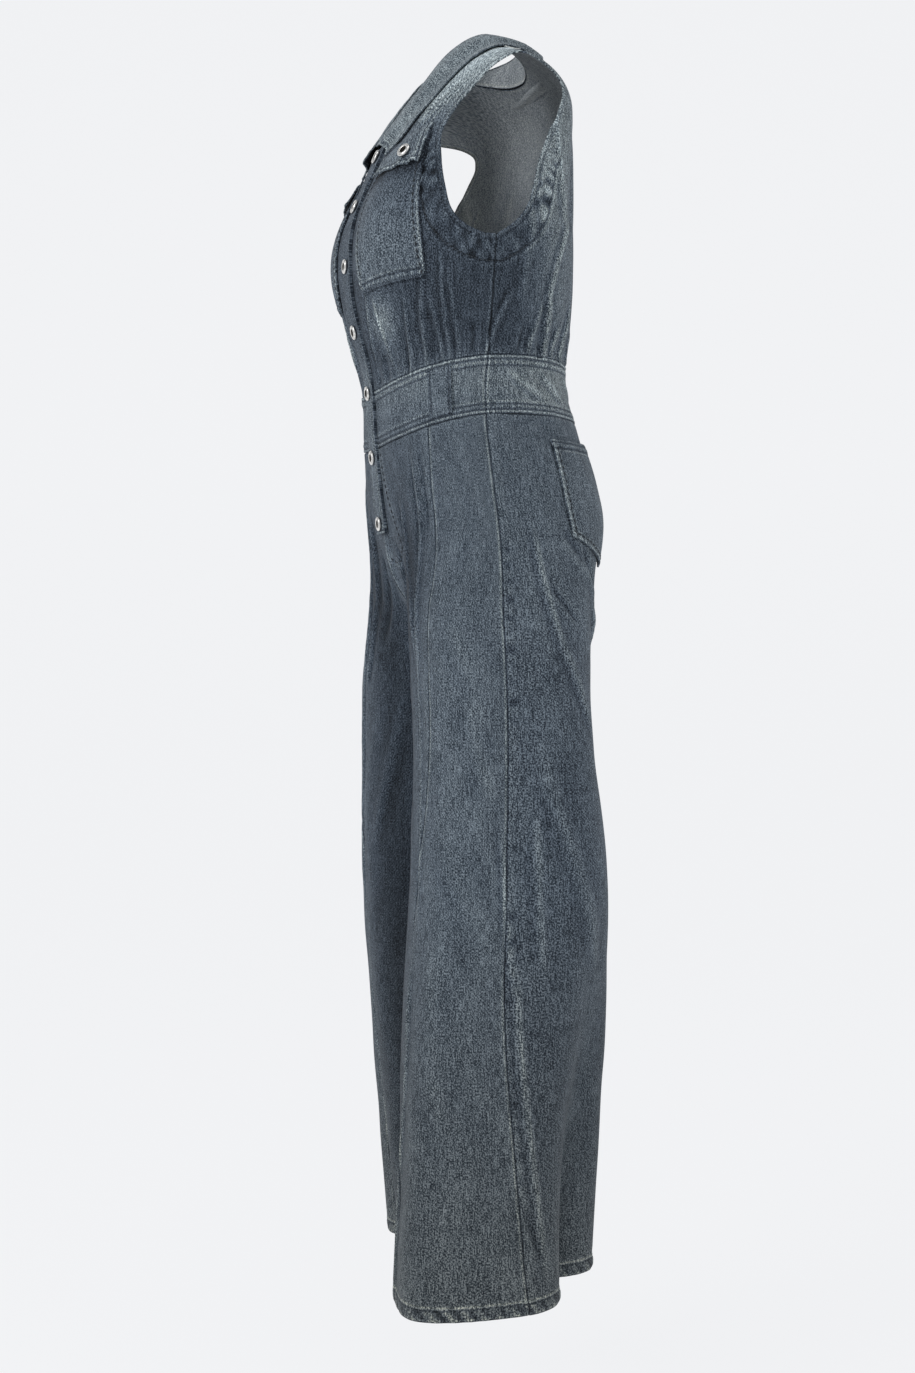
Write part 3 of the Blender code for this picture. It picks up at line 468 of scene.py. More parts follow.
def leg(side, girth, z):
    """Point of a leg's outer surface, modelled on the left at a girth position and a height."""
    girth, z = np.broadcast_arrays(np.asarray(girth, dtype=float), np.asarray(z, dtype=float))
    hip = torso(math.pi * girth, z)
    turn = 2 * math.pi * girth
    across, along = superellipse(turn + math.pi / 2, column(LEG, "squareness", z))
    side_y = column(LEG, "side_y", z)
    reach = np.where(along < 0, column(LEG, "front", z) + side_y, column(LEG, "back", z) - side_y)
    relief = np.zeros(z.shape)
    for at, top_z, depth, width, drift in LEG_FOLDS[side][1:]:
        grown = smoothstep((top_z - z) / (top_z - HEM_Z))
        away = (girth - at - drift * grown + 0.5) % 1.0 - 0.5
        relief -= depth * grown * np.exp(-((away / width) ** 2))
    step = column(LEG, "step", z) * (1 if side == "left" else -1)
    x = column(LEG, "centre_x", z) - column(LEG, "half_width", z) * across - relief * np.cos(turn)
    y = side_y + reach * along - relief * np.sin(turn) - step
    down = np.clip((CROTCH_TOP_Z - z) / (CROTCH_TOP_Z - CROTCH_Z), 0, 1)
    at_rise = 1 - np.sqrt(1 - down ** 2)
    at_side = smoothstep((BLEND_TOP_Z - z) / BLEND_HEIGHT)
    inner = np.clip(1 - np.minimum(np.abs(girth), np.abs(1 - girth)) / INSEAM_REACH, 0, 1) ** 2
    share = (at_side + (at_rise - at_side) * inner)[..., None]
    return hip * (1 - share) + np.stack((x, y, z), axis=-1) * share


# ---------------------------------------------------------------- relief of the cloth
def creases(table, across, z, unit_length):
    """Height of a table's creases, and their wear and painted light and shade, crests lighter and troughs
    darker; `across` counts in units of unit_length metres.
    """
    relief, wear_and_shade = np.zeros(across.shape), np.zeros(across.shape)
    for a0, z0, a1, z1, height, width, bow in table[1:]:
        run = np.array(((a1 - a0) * unit_length, z1 - z0))
        length = np.hypot(*run)
        du, dz = (across - a0) * unit_length, z - z0
        t = (du * run[0] + dz * run[1]) / length ** 2
        away = (du * run[1] - dz * run[0]) / length - bow * np.sin(math.pi * np.clip(t, 0, 1))
        ends = smoothstep((t + 0.12) / 0.35) * smoothstep((1.12 - t) / 0.35)
        shape = np.exp(-(away / width) ** 2) - 0.55 * bump_at(away, 1.7 * width, 1.2 * width)
        relief += CREASE_SCALE * height * ends * shape
        strength = math.copysign(min(1.0, abs(height) / 0.0020), height)
        strength = strength * min(1.0, 0.0045 / width)
        # Lighter along a ridge's crest, darker along a trough and beside a ridge: partly wear, partly painted
        # light and shade.
        painted_light_and_wear = np.exp(-(away / WEAR_AND_SHADE_WIDTH) ** 2) + 0.15 * np.exp(-(away / (1.6 * width)) ** 2)
        wear_and_shade += strength * ends * painted_light_and_wear
        wear_and_shade -= 0.35 * abs(strength) * ends * bump_at(away, 1.5 * width + 0.001, 0.8 * width)
    return relief, wear_and_shade


def softness(across, z, phase):
    """Slight unevenness of cloth that hangs free."""
    return (0.0007 * np.sin(across / 0.021 + 1.3 * np.sin(z / 0.052 + phase) + phase)
            * np.sin(z / 0.083 + 0.9 * np.sin(across / 0.047))
            + 0.0004 * np.sin(across / 0.0088 + z / 0.061 + 2.1 * np.sin(z / 0.037 + phase)))


def uneven(along, pitch, phase):
    """A wave along a seam whose length and height both wander."""
    wander = 1.9 * np.sin(along / 0.023 + phase) + 1.3 * np.sin(along / 0.059 + 2 * phase)
    return np.sin(2 * math.pi * along / pitch + wander) * (0.65 + 0.35 * np.sin(along / 0.017 + 3 * phase))


def gather_wear_and_shade(degrees, z):
    """Rubbed, lighter crests and painted shade in the hollows of the large gathers above the waist seam."""
    above = z - waist_seam_z(np.radians(degrees))
    wear_and_shade = np.zeros(degrees.shape)
    for at, height, depth, width in GATHERS[1:]:
        held = gather_hold(above, height)
        wear_and_shade -= 0.75 * np.exp(-(((degrees - at) / (0.45 * width)) ** 2)) * held
        wear_and_shade += 0.45 * bump_at(degrees, at + 0.95 * width, 0.35 * width) * held
    return wear_and_shade


def small_gathers(angle, z, phase):
    """Finer gathers between the large ones, crowded on to the waist seam, with painted light and shade:
    crests lighter, hollows darker.
    """
    above = z - waist_seam_z(angle)
    arc = np.abs(angle) * TORSO_GIRTH
    wave = uneven(arc, 0.0105, phase) + 0.5 * uneven(arc + 0.004, 0.0066, phase + 2)
    height = 0.030 + 0.016 * np.sin(arc / 0.019 + phase)
    hold = smoothstep(above / 0.004) * np.exp(-np.clip(above, 0, None) / height)
    hold = hold * smoothstep((np.abs(angle) - 0.10) / 0.1)
    return 0.0010 * wave * hold, 0.12 * wave * hold


def torso_relief(angle, z, side):
    """Creases of one side of the body; the right side has the left's, moved a little."""
    shift = 0.0 if side == "left" else 1.7
    degrees = np.degrees(np.abs(angle)) + shift * np.sin(z / 0.04)
    relief, wear_and_shade = creases(TORSO_CREASES, degrees, z + 0.004 * shift, math.radians(TORSO_GIRTH))
    fine, fine_wear_and_shade = small_gathers(angle, z, 0.6 + shift)
    relief = relief + fine + 0.7 * softness(np.abs(angle) * TORSO_GIRTH, z, 1.0 + shift)
    return relief, wear_and_shade + fine_wear_and_shade + gather_wear_and_shade(degrees, z)


def leg_relief(side, girth, z):
    relief, wear_and_shade = creases(LEG_CREASES[side], girth, z, LEG_GIRTH)
    return relief + 0.9 * softness(girth * LEG_GIRTH, z, 0.4 if side == "left" else 2.9), 0.65 * wear_and_shade


# ---------------------------------------------------------------- panels
def unit(vectors):
    return vectors / np.linalg.norm(vectors, axis=-1, keepdims=True)


def grid_normals(points):
    return unit(np.cross(np.gradient(points, axis=1), np.gradient(points, axis=0)))


def arc_length(points, axis):
    """Length along each row or column of a grid, from its start."""
    step = np.linalg.norm(np.diff(points, axis=axis), axis=-1)
    start = np.zeros_like(np.take(step, [0], axis=axis))
    return np.concatenate((start, np.cumsum(step, axis=axis)), axis=axis)


def running_length(points):
    """Length along a line of points, from its start."""
    return np.concatenate(((0.0,), np.cumsum(np.linalg.norm(np.diff(points, axis=0), axis=1))))


def spaced(length, step, first=True, last=True, offsets=EDGE_OFFSETS):
    """Shares from 0 to 1 along a length, a step apart, with extra lines beside the sewn ends."""
    count = max(2, round(length / step))
    shares = list(np.linspace(0, 1, count + 1))
    extra = [offset / length for offset in offsets if offset < 0.4 * length]
    clear = extra[-1] * 1.06
    shares = [at for at in shares if not (first and 0 < at < clear or last and 1 - clear < at < 1)]
    shares += extra if first else []
    shares += [1 - at for at in extra] if last else []
    return np.array(sorted(shares))


def smoothed(field, rounds):
    for _ in range(rounds):
        wide = np.pad(field, 1, mode="edge")
        field = (wide[:-2, 1:-1] + wide[2:, 1:-1] + wide[1:-1, :-2] + wide[1:-1, 2:]) / 4
    return field


LINE_PARTS = 6
CHUNK = 2000


def distance_to_line(points, line):
    """Distance of each grid point from a polyline, and how far along it the nearest place is."""
    parts = np.linspace(0, 1, LINE_PARTS, endpoint=False)
    fine = np.concatenate([line[:-1] + (line[1:] - line[:-1]) * part for part in parts])
    place = np.tile(np.arange(len(line) - 1), LINE_PARTS) + np.repeat(parts, len(line) - 1)
    fine = fine[np.argsort(place)]
    length = running_length(fine)
    flat = points.reshape(-1, 3)
    away, along = np.empty(len(flat)), np.empty(len(flat))
    for start in range(0, len(flat), CHUNK):
        gaps = np.linalg.norm(flat[start:start + CHUNK, None] - fine[None], axis=-1)
        away[start:start + CHUNK] = gaps.min(axis=1)
        along[start:start + CHUNK] = length[gaps.argmin(axis=1)]
    return away.reshape(points.shape[:2]), along.reshape(points.shape[:2])


class Panel:
    """A grid of cloth, rows from low to high, with the relief, tone and sewing that are added to it."""

    def __init__(self, points, weave, relief=0.0, phase=0.0, wear_and_shade=0.0):
        self.base = points
        self.normals = grid_normals(points)
        self.weave = np.stack(np.broadcast_arrays(*weave), axis=-1)
        self.relief = np.zeros(points.shape[:2]) + relief
        self.wear_and_shade = np.zeros(points.shape[:2]) + wear_and_shade
        self.tone = np.ones(points.shape[:2])
        self.phase = phase
        across, up = arc_length(points, 1), arc_length(points, 0)
        self.edge = {"left": across, "right": across[:, -1:] - across, "low": up, "high": up[-1:] - up}
        self.along = {"left": up, "right": up, "low": across, "high": across}
        self.lines = []

    def add_line_edge(self, name, line):
        self.edge[name], self.along[name] = distance_to_line(self.base, line)

    def rolled(self, *names, depth=0.0006, dark=0.62, light=0.75):
        """Edges that turn in at a seam: a dark line with a lighter one beside it, partly wear and partly a
        painted highlight.
        """
        for name in names:
            away = self.edge[name]
            self.relief -= depth * np.exp(-((away / 0.0011) ** 2))
            self.tone *= 1 - dark * np.exp(-((away / 0.0008) ** 2)) + light * bump_at(away, 0.0023, 0.0010)

    def sewn(self, name, rows, height=0.0005, pucker=0.0003, pitch=0.0075, lean=0.0, painted_light_and_wear=0.70, dark=0.88):
        """A sewn band along an edge, raised as far as its last row, puckered and grooved at each row, with a
        painted highlight just beyond its last row.
        """
        away, along = self.edge[name], self.along[name]
        last = rows[-1]
        wave = uneven(along + lean * away, pitch, self.phase)
        band = 1 - smoothstep((away - last - 0.0006) / 0.0020)
        self.relief += height * band
        self.relief += pucker * wave * bump_at(away, 0.55 * last, 0.75 * last + 0.001)
        self.tone *= 1 + band * (0.16 + 700 * pucker * wave)
        for row in rows:
            near = bump_at(away, row, 0.0017)
            self.relief -= 0.0008 * near
            self.tone *= 1 - dark * near * (0.68 + 0.32 * wave)
            self.lines.append((name, row))
        # Painted highlight: a lighter line just beyond the band's last row.
        self.tone *= 1 + painted_light_and_wear * bump_at(away, last + 0.0024, 0.0011)

    def outer(self):
        return self.base + self.normals * self.relief[..., None]

    def shade(self, strength=0.16, scale=0.00045):
        """Tone with painted light and shade on the relief, ridges lighter and troughs darker, and the
        creases' wear and painted shade.
        """
        fold = np.clip((self.relief - smoothed(self.relief, 6)) / scale, -1, 1)
        broad = np.clip((self.relief - smoothed(self.relief, 40)) / (2.2 * scale), -1, 1)
        worn_and_shaded = np.where(self.wear_and_shade > 0, 0.62, 0.42) * np.clip(self.wear_and_shade, -1.3, 1.2)
        return np.clip(self.tone * (1 + strength * fold + 0.3 * strength * broad) * (1 + worn_and_shaded), 0.08, 4.0)

    def contour(self, name, distance):
        """Points and normals of the line at a distance from one edge, in order along that edge."""
        field, along, points = self.edge[name] - distance, self.along[name], self.outer()
        found = []
        axes = {"left": (1,), "right": (1,), "low": (0,), "high": (0,)}.get(name, (0, 1))
        for axis in axes:
            start = (slice(None, -1), slice(None)) if axis == 0 else (slice(None), slice(None, -1))
            end = (slice(1, None), slice(None)) if axis == 0 else (slice(None), slice(1, None))
            crossing = field[start] * field[end] < 0
            share = (field[start] / (field[start] - field[end] + 1e-12))[crossing]
            data = np.concatenate((points, self.normals, along[..., None]), axis=-1)
            found.append(data[start][crossing] * (1 - share)[:, None] + data[end][crossing] * share[:, None])
        found = np.concatenate(found)
        if len(found) < 4:
            return None
        bins = np.round(found[:, 6] / 0.004).astype(int)
        line = np.array([found[bins == number].mean(axis=0) for number in np.unique(bins)])
        return line[:, :3], unit(line[:, 3:6])


def mesh_object(name, points, faces, materials, indices=None, smooth=50):
    mesh = bpy.data.meshes.new(name)
    mesh.from_pydata(np.asarray(points).tolist(), [], faces)
    for material in materials:
        mesh.materials.append(material)
    if indices is not None:
        mesh.polygons.foreach_set("material_index", indices)
    mesh.shade_smooth()
    mesh.set_sharp_from_angle(angle=math.radians(smooth))
    piece = bpy.data.objects.new(name, mesh)
    bpy.context.collection.objects.link(piece)
    return piece


def wall(panel, name, thickness=WALL, mirrored=False, wrap=False):
    """The closed shell of a panel: its outer grid, the inner one and the rim, with weave and tone."""
    outer, weave, tone = panel.outer(), panel.weave, panel.shade()
    inner = outer - panel.normals * thickness
    if mirrored:
        flip = np.array((-1.0, 1.0, 1.0))
        outer, inner = outer[:, ::-1] * flip, inner[:, ::-1] * flip
        weave, tone = weave[:, ::-1], tone[:, ::-1]
    rows, columns = tone.shape
    index = np.arange(rows * columns).reshape(rows, columns)
    if wrap:
        index = np.concatenate((index, index[:, :1]), axis=1)
    front = np.stack((index[:-1, :-1], index[:-1, 1:], index[1:, 1:], index[1:, :-1]), axis=-1).reshape(-1, 4)
    back = front[:, ::-1] + rows * columns
    sides = [index[0, ::-1], index[-1, :]]
    if not wrap:
        sides += [index[:, 0], index[::-1, -1]]
    rim = []
    for side in sides:
        start, end = side[:-1], side[1:]
        rim.append(np.stack((start, end, end + rows * columns, start + rows * columns), axis=-1))
    rim = np.concatenate(rim)
    faces = np.concatenate((front, back, rim))
    inside = np.zeros(len(faces), dtype=np.int32)
    inside[len(front):len(front) + len(back)] = 1
    points = np.concatenate((outer.reshape(-1, 3), inner.reshape(-1, 3)))
    piece = mesh_object(name, points, faces.tolist(), (DENIM, DENIM_INSIDE), inside)
    corner = np.empty(len(piece.data.loops), dtype=np.int32)
    piece.data.loops.foreach_get("vertex_index", corner)
    flat = np.concatenate((weave.reshape(-1, 2), weave.reshape(-1, 2)))
    piece.data.uv_layers.new(name="weave").data.foreach_set("uv", flat[corner].ravel())
    values = np.concatenate((tone.ravel(), 0.5 + 0.5 * tone.ravel()))
    piece.data.attributes.new("tone", "FLOAT", "POINT").data.foreach_set("value", values)
    return piece


# ---------------------------------------------------------------- sewing
STITCH_PITCH = 0.0033
STITCH_LENGTH = 0.0024
STITCH_RADIUS = 0.00042
sewing = {}


def stitch_rings():
    """One stitch along +X: three square rings and two tips, as unit offsets (along, side, up)."""
    rings = []
    for along, size in ((-0.32, 0.8), (0.0, 1.0), (0.32, 0.8)):
        for turn in range(4):
            around = math.pi / 4 + turn * math.pi / 2
            rings.append((along, size * math.cos(around), size * math.sin(around)))
    rings += [(-0.5, 0.0, -0.6), (0.5, 0.0, -0.6)]
    faces = []
    for ring in (0, 4):
        faces += [(ring + i, ring + (i + 1) % 4, ring + 4 + (i + 1) % 4, ring + 4 + i) for i in range(4)]
    faces += [(12, (i + 1) % 4, i) for i in range(4)]
    faces += [(13, 8 + i, 8 + (i + 1) % 4) for i in range(4)]
    return np.array(rings), faces


def sew(group, line, mirrored=False, pitch=STITCH_PITCH, length=STITCH_LENGTH, radius=STITCH_RADIUS):
    """Lay a row of stitches along a line of points and normals."""
    if line is None:
        return
    points, normals = line
    if mirrored:
        points, normals = points * (-1, 1, 1), normals * (-1, 1, 1)
    run = running_length(points)
    if run[-1] < 2 * pitch:
        return
    at = np.arange(pitch / 2, run[-1] - pitch / 2, pitch)
    at = at + random.uniform(-0.08, 0.08, len(at)) * pitch

    def read(values, where):
        return np.stack([np.interp(where, run, values[:, k]) for k in range(3)], axis=-1)

    centre = read(points, at)
    along = unit(read(points, at + pitch / 2) - read(points, at - pitch / 2))
    up = unit(read(normals, at))
    aside = unit(np.cross(up, along))
    rings, faces = stitch_rings()
    size = np.array((length, radius, radius * 0.8))
    local = rings * size
    solid = (centre[:, None] + local[None, :, :1] * along[:, None] + local[None, :, 1:2] * aside[:, None]
             + (local[None, :, 2:] + 0.00018) * up[:, None])
    sewing.setdefault(group, []).append((solid, faces))


def bold_sewing(line, mirrored=False):
    """The thick, dark topstitching of the pockets' long edges and the fly."""
    sew("bold", line, mirrored, pitch=0.0076, length=0.0044, radius=0.0013)


def bold_edges(panel, names, mirrored):
    """Pocket edges that one thick row holds, with the cloth paler round it."""
    for name in names:
        panel.sewn(name, (BOLD_ROW,), pitch=0.0078, painted_light_and_wear=0.25, dark=-0.20)
        bold_sewing(panel.contour(name, BOLD_ROW), mirrored)


def sew_rows(group, panel, mirrored=False):
    """Stitches along every sewn row of a panel."""
    for name, row in panel.lines:
        sew(group, panel.contour(name, row), mirrored)


def joined_sewing(group, material):
    points, faces = [], []
    count = 0
    for solid, shape in sewing[group]:
        for one in solid:
            faces += [tuple(count + i for i in face) for face in shape]
            points.append(one)
            count += len(one)
    return mesh_object("sewing_" + group, np.concatenate(points), faces, (material,), smooth=80)


# ---------------------------------------------------------------- materials
def node_tree(name):
    material = bpy.data.materials.new(name)
    material.use_nodes = True
    tree = material.node_tree
    return material, tree, tree.nodes["Principled BSDF"]


def add_node(tree, kind, settings=None, **inputs):
    """Add a node; an input, by name or as i and its number, takes a socket to link or a value."""
    node = tree.nodes.new("ShaderNode" + kind)
    for key, value in (settings or {}).items():
        setattr(node, key, value)
    for key, value in inputs.items():
        numbered = key[0] == "i" and key[1:].isdigit()
        socket = node.inputs[int(key[1:]) if numbered else key.replace("_", " ")]
        if isinstance(value, bpy.types.NodeSocket):
            tree.links.new(value, socket)
        else:
            socket.default_value = value
    return node


def maths(tree, operation, a, b, clamp=False):
    return add_node(tree, "Math", {"operation": operation, "use_clamp": clamp}, i0=a, i1=b).outputs[0]


def vector_maths(tree, operation, a, **inputs):
    return add_node(tree, "VectorMath", {"operation": operation}, i0=a, **inputs).outputs[0]


def noise(tree, place, scale, detail):
    return add_node(tree, "TexNoise", None, Vector=place, Scale=scale, Detail=detail).outputs[0]


def stretched_noise(tree, vector, across, along, detail, seed):
    """Noise whose grains measure `across` by `along` metres on the cloth."""
    scale = (1 / across, 1 / along, 1.0)
    place = add_node(tree, "Mapping", None, Vector=vector, Scale=scale, Location=(seed, seed, 0.0)).outputs[0]
    grains = add_node(tree, "TexNoise", None, Vector=place, Scale=1.0, Detail=detail, Roughness=0.55)
    return grains.outputs[0]


def colour_ramp(tree, factor, low, high, middle=None):
    """A ramp between two stops, or through a third; each stop is a position and a colour."""
    ramp = add_node(tree, "ValToRGB", None, Fac=factor)
    elements = ramp.color_ramp.elements
    for number, (position, colour) in enumerate((low, high)):
        elements[number].position, elements[number].color = position, (*colour, 1.0)
    if middle:
        elements.new(middle[0]).color = (*middle[1], 1.0)
    return ramp.outputs[0]


def set_inputs(shader, **values):
    for name, value in values.items():
        shader.inputs[name.replace("_", " ")].default_value = value


def relief_and_colour(tree, shader, colour, height, strength, distance):
    """Link a shader's colour and the fine relief of its surface."""
    tree.links.new(colour, shader.inputs["Base Color"])
    bump = add_node(tree, "Bump", None, Strength=strength, Distance=distance, Height=height)
    tree.links.new(bump.outputs[0], shader.inputs["Normal"])


def denim_cloth(name, dark, middle, light, contrast, sheen):
    """Washed twill: mottled yarn, slubs along the warp, a fine diagonal, and the tone attribute with its wear
    and painted light and shade.
    """
    material, tree, shader = node_tree(name)
    weave = add_node(tree, "UVMap", {"uv_map": "weave"}).outputs[0]
    grain = stretched_noise(tree, weave, 0.0011, 0.0019, 3.0, 3.1)
    yarn = stretched_noise(tree, weave, 0.0012, 0.0120, 1.0, 7.7)
    slub = stretched_noise(tree, weave, 0.0034, 0.0600, 1.0, 1.3)
    cloud = stretched_noise(tree, weave, 0.0300, 0.0500, 3.0, 5.9)
    twill = add_node(tree, "TexWave", {"wave_type": "BANDS", "bands_direction": "DIAGONAL"},
                     Vector=weave, Scale=140.0, Distortion=1.2, Detail=1.0, Detail_Scale=3.0).outputs[1]
    value = 0.5
    for source, amount in ((grain, 3.30), (yarn, 1.25), (slub, 0.40), (cloud, 0.32), (twill, 0.14)):
        swing = maths(tree, "SUBTRACT", source, 0.5)
        value = maths(tree, "ADD", value, maths(tree, "MULTIPLY", swing, amount * contrast))
    colour = colour_ramp(tree, value, (0.12, dark), (0.88, light), (0.5, middle))
    tone = add_node(tree, "Attribute", {"attribute_name": "tone"}).outputs[2]
    toned = vector_maths(tree, "SCALE", colour, Scale=tone)
    hue = colour_ramp(tree, maths(tree, "MULTIPLY", tone, 0.5),
                      (0.20, (0.88, 0.97, 1.12)), (0.75, (1.06, 1.04, 0.96)))
    tinted = vector_maths(tree, "MULTIPLY", toned, i1=hue)
    down = add_node(tree, "SeparateXYZ", None, Vector=weave).outputs[1]
    low = add_node(tree, "MapRange", None, Value=down, i1=-0.95, i2=-1.40).outputs[0]
    greyer = colour_ramp(tree, low, (0.0, (1.0, 1.0, 1.0)), (1.0, (1.10, 1.0, 0.86)))
    worn_and_shaded = vector_maths(tree, "MULTIPLY", tinted, i1=greyer)
    height = maths(tree, "ADD", maths(tree, "MULTIPLY", grain, 0.6), maths(tree, "MULTIPLY", twill, 0.4))
    relief_and_colour(tree, shader, worn_and_shaded, height, 0.55, 0.0009)
    set_inputs(shader, Roughness=0.88, Specular_IOR_Level=0.22, Sheen_Weight=sheen, Sheen_Roughness=0.45)
    return material


def thread_material(name, dark, light):
    """Cotton sewing thread with twist and rubbed places."""
    material, tree, shader = node_tree(name)
    place = add_node(tree, "TexCoord").outputs["Object"]
    colour = colour_ramp(tree, noise(tree, place, 260.0, 2.0), (0.32, dark), (0.68, light))
    twist = add_node(tree, "TexWave", {"bands_direction": "DIAGONAL"}, Vector=place, Scale=900.0).outputs[1]
    relief_and_colour(tree, shader, colour, twist, 0.4, 0.0002)
    set_inputs(shader, Roughness=0.75)
    return material


def metal_material(name, bright, dull, roughness):
    """Plated metal with fine scratches and duller patches."""
    material, tree, shader = node_tree(name)
    place = add_node(tree, "TexCoord").outputs["Object"]
    patch = noise(tree, place, 320.0, 3.0)
    colour = colour_ramp(tree, patch, (0.35, dull), (0.62, bright))
    rough = add_node(tree, "MapRange", None, Value=patch, i3=roughness + 0.15, i4=roughness - 0.08).outputs[0]
    tree.links.new(rough, shader.inputs["Roughness"])
    relief_and_colour(tree, shader, colour, noise(tree, place, 1500.0, 2.0), 0.15, 0.0001)
    set_inputs(shader, Metallic=1.0)
    return material


DENIM = denim_cloth(
    "denim", (0.018, 0.025, 0.035), (0.084, 0.106, 0.128), (0.290, 0.335, 0.372), contrast=1.0, sheen=0.05)
DENIM_INSIDE = denim_cloth(
    "denim_inside", (0.110, 0.125, 0.140), (0.230, 0.250, 0.268), (0.430, 0.450, 0.465),
    contrast=0.7, sheen=0.08)
THREAD_DARK = thread_material("thread_dark", (0.026, 0.032, 0.040), (0.100, 0.122, 0.145))
THREAD_BOLD = thread_material("thread_bold", (0.006, 0.009, 0.014), (0.022, 0.030, 0.040))
THREAD_PALE = thread_material("thread_pale", (0.150, 0.178, 0.200), (0.360, 0.395, 0.420))
THREADS = {"hems": THREAD_PALE, "collar": THREAD_PALE, "bold": THREAD_BOLD}
METAL = metal_material("button_plating", (0.92, 0.91, 0.88), (0.56, 0.55, 0.53), 0.34)
# The button's sunk middle is near black: painted shade of its hole.
HOLLOW_SHADE = metal_material("button_hollow", (0.040, 0.036, 0.032), (0.012, 0.011, 0.010), 0.60)


def cloth_piece(panel, node, thickness=WALL, mirrored=False, wrap=False):
    piece = wall(panel, node + "_cloth", thickness, mirrored, wrap)
    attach(piece, "root")
    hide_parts(node)


def sided_piece(panel, kind, side, wrap=False):
    """A piece that is modelled on the wearer's left and mirrored for the right."""
    cloth_piece(panel, kind + "_" + side, mirrored=side == "right", wrap=wrap)


# ---------------------------------------------------------------- tone of each region, with painted light and shade
# Patches of tone on the body, partly wash and partly painted light: the bright patches high on the shoulders
# and upper back are painted light.
BODY_WASH_AND_LIGHT = (
    ("at", "z", "spread", "height", "amount"),
    (40.0, -0.040, 30.0, 0.062, 2.60),
    (28.0, -0.325, 10.0, 0.026, 1.00),
    (20.0, -0.220, 18.0, 0.070, 0.25),
    (118.0, -0.130, 20.0, 0.080, 1.05),
    (128.0, -0.235, 14.0, 0.050, 0.35),
    (128.0, -0.310, 18.0, 0.050, 0.32),
    (160.0, -0.060, 30.0, 0.070, 0.55),
    (170.0, -0.250, 24.0, 0.120, 0.35),
    (44.0, -0.395, 60.0, 0.030, 0.35),
    (125.0, -0.395, 50.0, 0.030, 0.42),
)
LEG_WASH_AND_SHADE = (
    # Patches of tone on the legs, partly wash and partly painted shade: the dark patches at the front toward
    # the inseam are painted shade.
    ("at", "z", "spread", "height", "amount"),
    (0.34, -0.500, 0.10, 0.120, -0.05),
    (0.40, -0.850, 0.09, 0.200, 0.06),
    (0.47, -1.080, 0.05, 0.180, 0.06),
    (0.62, -0.620, 0.08, 0.060, 0.06),
    (0.60, -0.850, 0.07, 0.140, -0.12),
    (0.58, -1.180, 0.04, 0.160, -0.16),
    (0.75, -1.200, 0.12, 0.220, -0.14),
    (0.12, -0.950, 0.11, 0.500, -0.58),
    (0.18, -0.620, 0.08, 0.100, -0.28),
    (0.75, -0.560, 0.12, 0.070, 0.05),
)


def wash_and_light(table, at, z):
    """Soft patches of paler or darker cloth, partly wash and partly painted light and shade."""
    tone = 0
    for place, middle, spread, height, amount in table[1:]:
        tone = tone + amount * np.exp(-((at - place) / spread) ** 2 - ((z - middle) / height) ** 2)
    return tone


def body_wash_and_light(angle, z):
    """Tone of the body, partly wash and partly painted light: paler on the shoulders, upper back and
    waistband, darker under the arms, with painted light on the shoulders and upper back and painted shade
    under the arms.
    """
    degrees = np.degrees(np.abs(angle))
    band = smoothstep((waist_seam_z(angle) - z) / 0.002)
    tone = 0.39 + 0.32 * smoothstep((degrees - 95) / 30) + 0.37 * band
    return tone + wash_and_light(BODY_WASH_AND_LIGHT, degrees, z) * np.where(np.asarray(z) > -0.37, 1 - 0.6 * band, 1.0)


def leg_wash_and_shade(girth, z):
    """Tone of the legs, partly wash and partly painted shade: paler down the outer thigh, darker behind, low
    down and at the inseam, the dark parts being painted shade.
    """
    return 0.86 - 0.12 * smoothstep((-0.80 - z) / 0.45) + wash_and_light(LEG_WASH_AND_SHADE, girth, z)


# ---------------------------------------------------------------- bodice
def bodice_patch(steps, spread, inner, armhole, from_back):
    """Angles and heights of the bodice grid between an inner edge and the side seam and armhole."""
    v = steps[:, None]
    above = v > ARMPIT_V
    outer_angle = np.where(above, np.radians(column(armhole, "angle", v)), math.pi / 2)
    waist = waist_seam_z(math.pi / 2) + SEAM_GAP / 2
    outer_z = np.where(above, column(armhole, "z", v), waist + (ARMPIT_Z - waist) * v / ARMPIT_V)
    inner_angle, inner_z = inner(v)
    angle = inner_angle + (outer_angle - inner_angle) * spread
    share = np.sin(angle) - np.sin(inner_angle)
    share = share / (np.sin(outer_angle) - np.sin(inner_angle))
    z = inner_z + (outer_z - inner_z) * share
    if from_back:
        angle = math.pi - angle
    seam = waist_seam_z(angle) + SEAM_GAP / 2
    z = z + (seam - z[0]) * np.clip(1 - v / ARMPIT_V, 0, 1)
    return angle, z


def bodice_steps():
    low = spaced(SIDE_SEAM_RUN, BODICE, last=False) * ARMPIT_V
    high = ARMPIT_V + (1 - ARMPIT_V) * spaced(ARMHOLE_RUN, BODICE * 0.95, first=False)
    return np.concatenate((low, high[1:]))


def front_inner_edge(v):
    low = waist_seam_z(0.0) + SEAM_GAP / 2
    x = np.where(v > NECK_V, column(NECKLINE_FRONT, "x", v), 0.0) + SEAM_GAP / 2
    z = np.where(v > NECK_V, column(NECKLINE_FRONT, "z", v), low + (NECK_FRONT_Z - low) * v / NECK_V)
    return angle_at(x, z), z


def back_inner_edge(v):
    low = WAIST_Z + SEAM_GAP / 2
    return np.zeros_like(v), low + (NECK_BACK_Z - low) * v


def seat_on_shoulder(points, y):
    """Lay the top row on the shoulder seam."""
    row = points[-1]
    on_seam = np.abs(row[:, 0]) >= NECK_X - 1e-6
    row[on_seam, 1] = y
    row[on_seam, 2] = shoulder_z(row[on_seam, 0])


SIDE_ANGLE_GAP = SEAM_GAP / 2 / TORSO_GIRTH


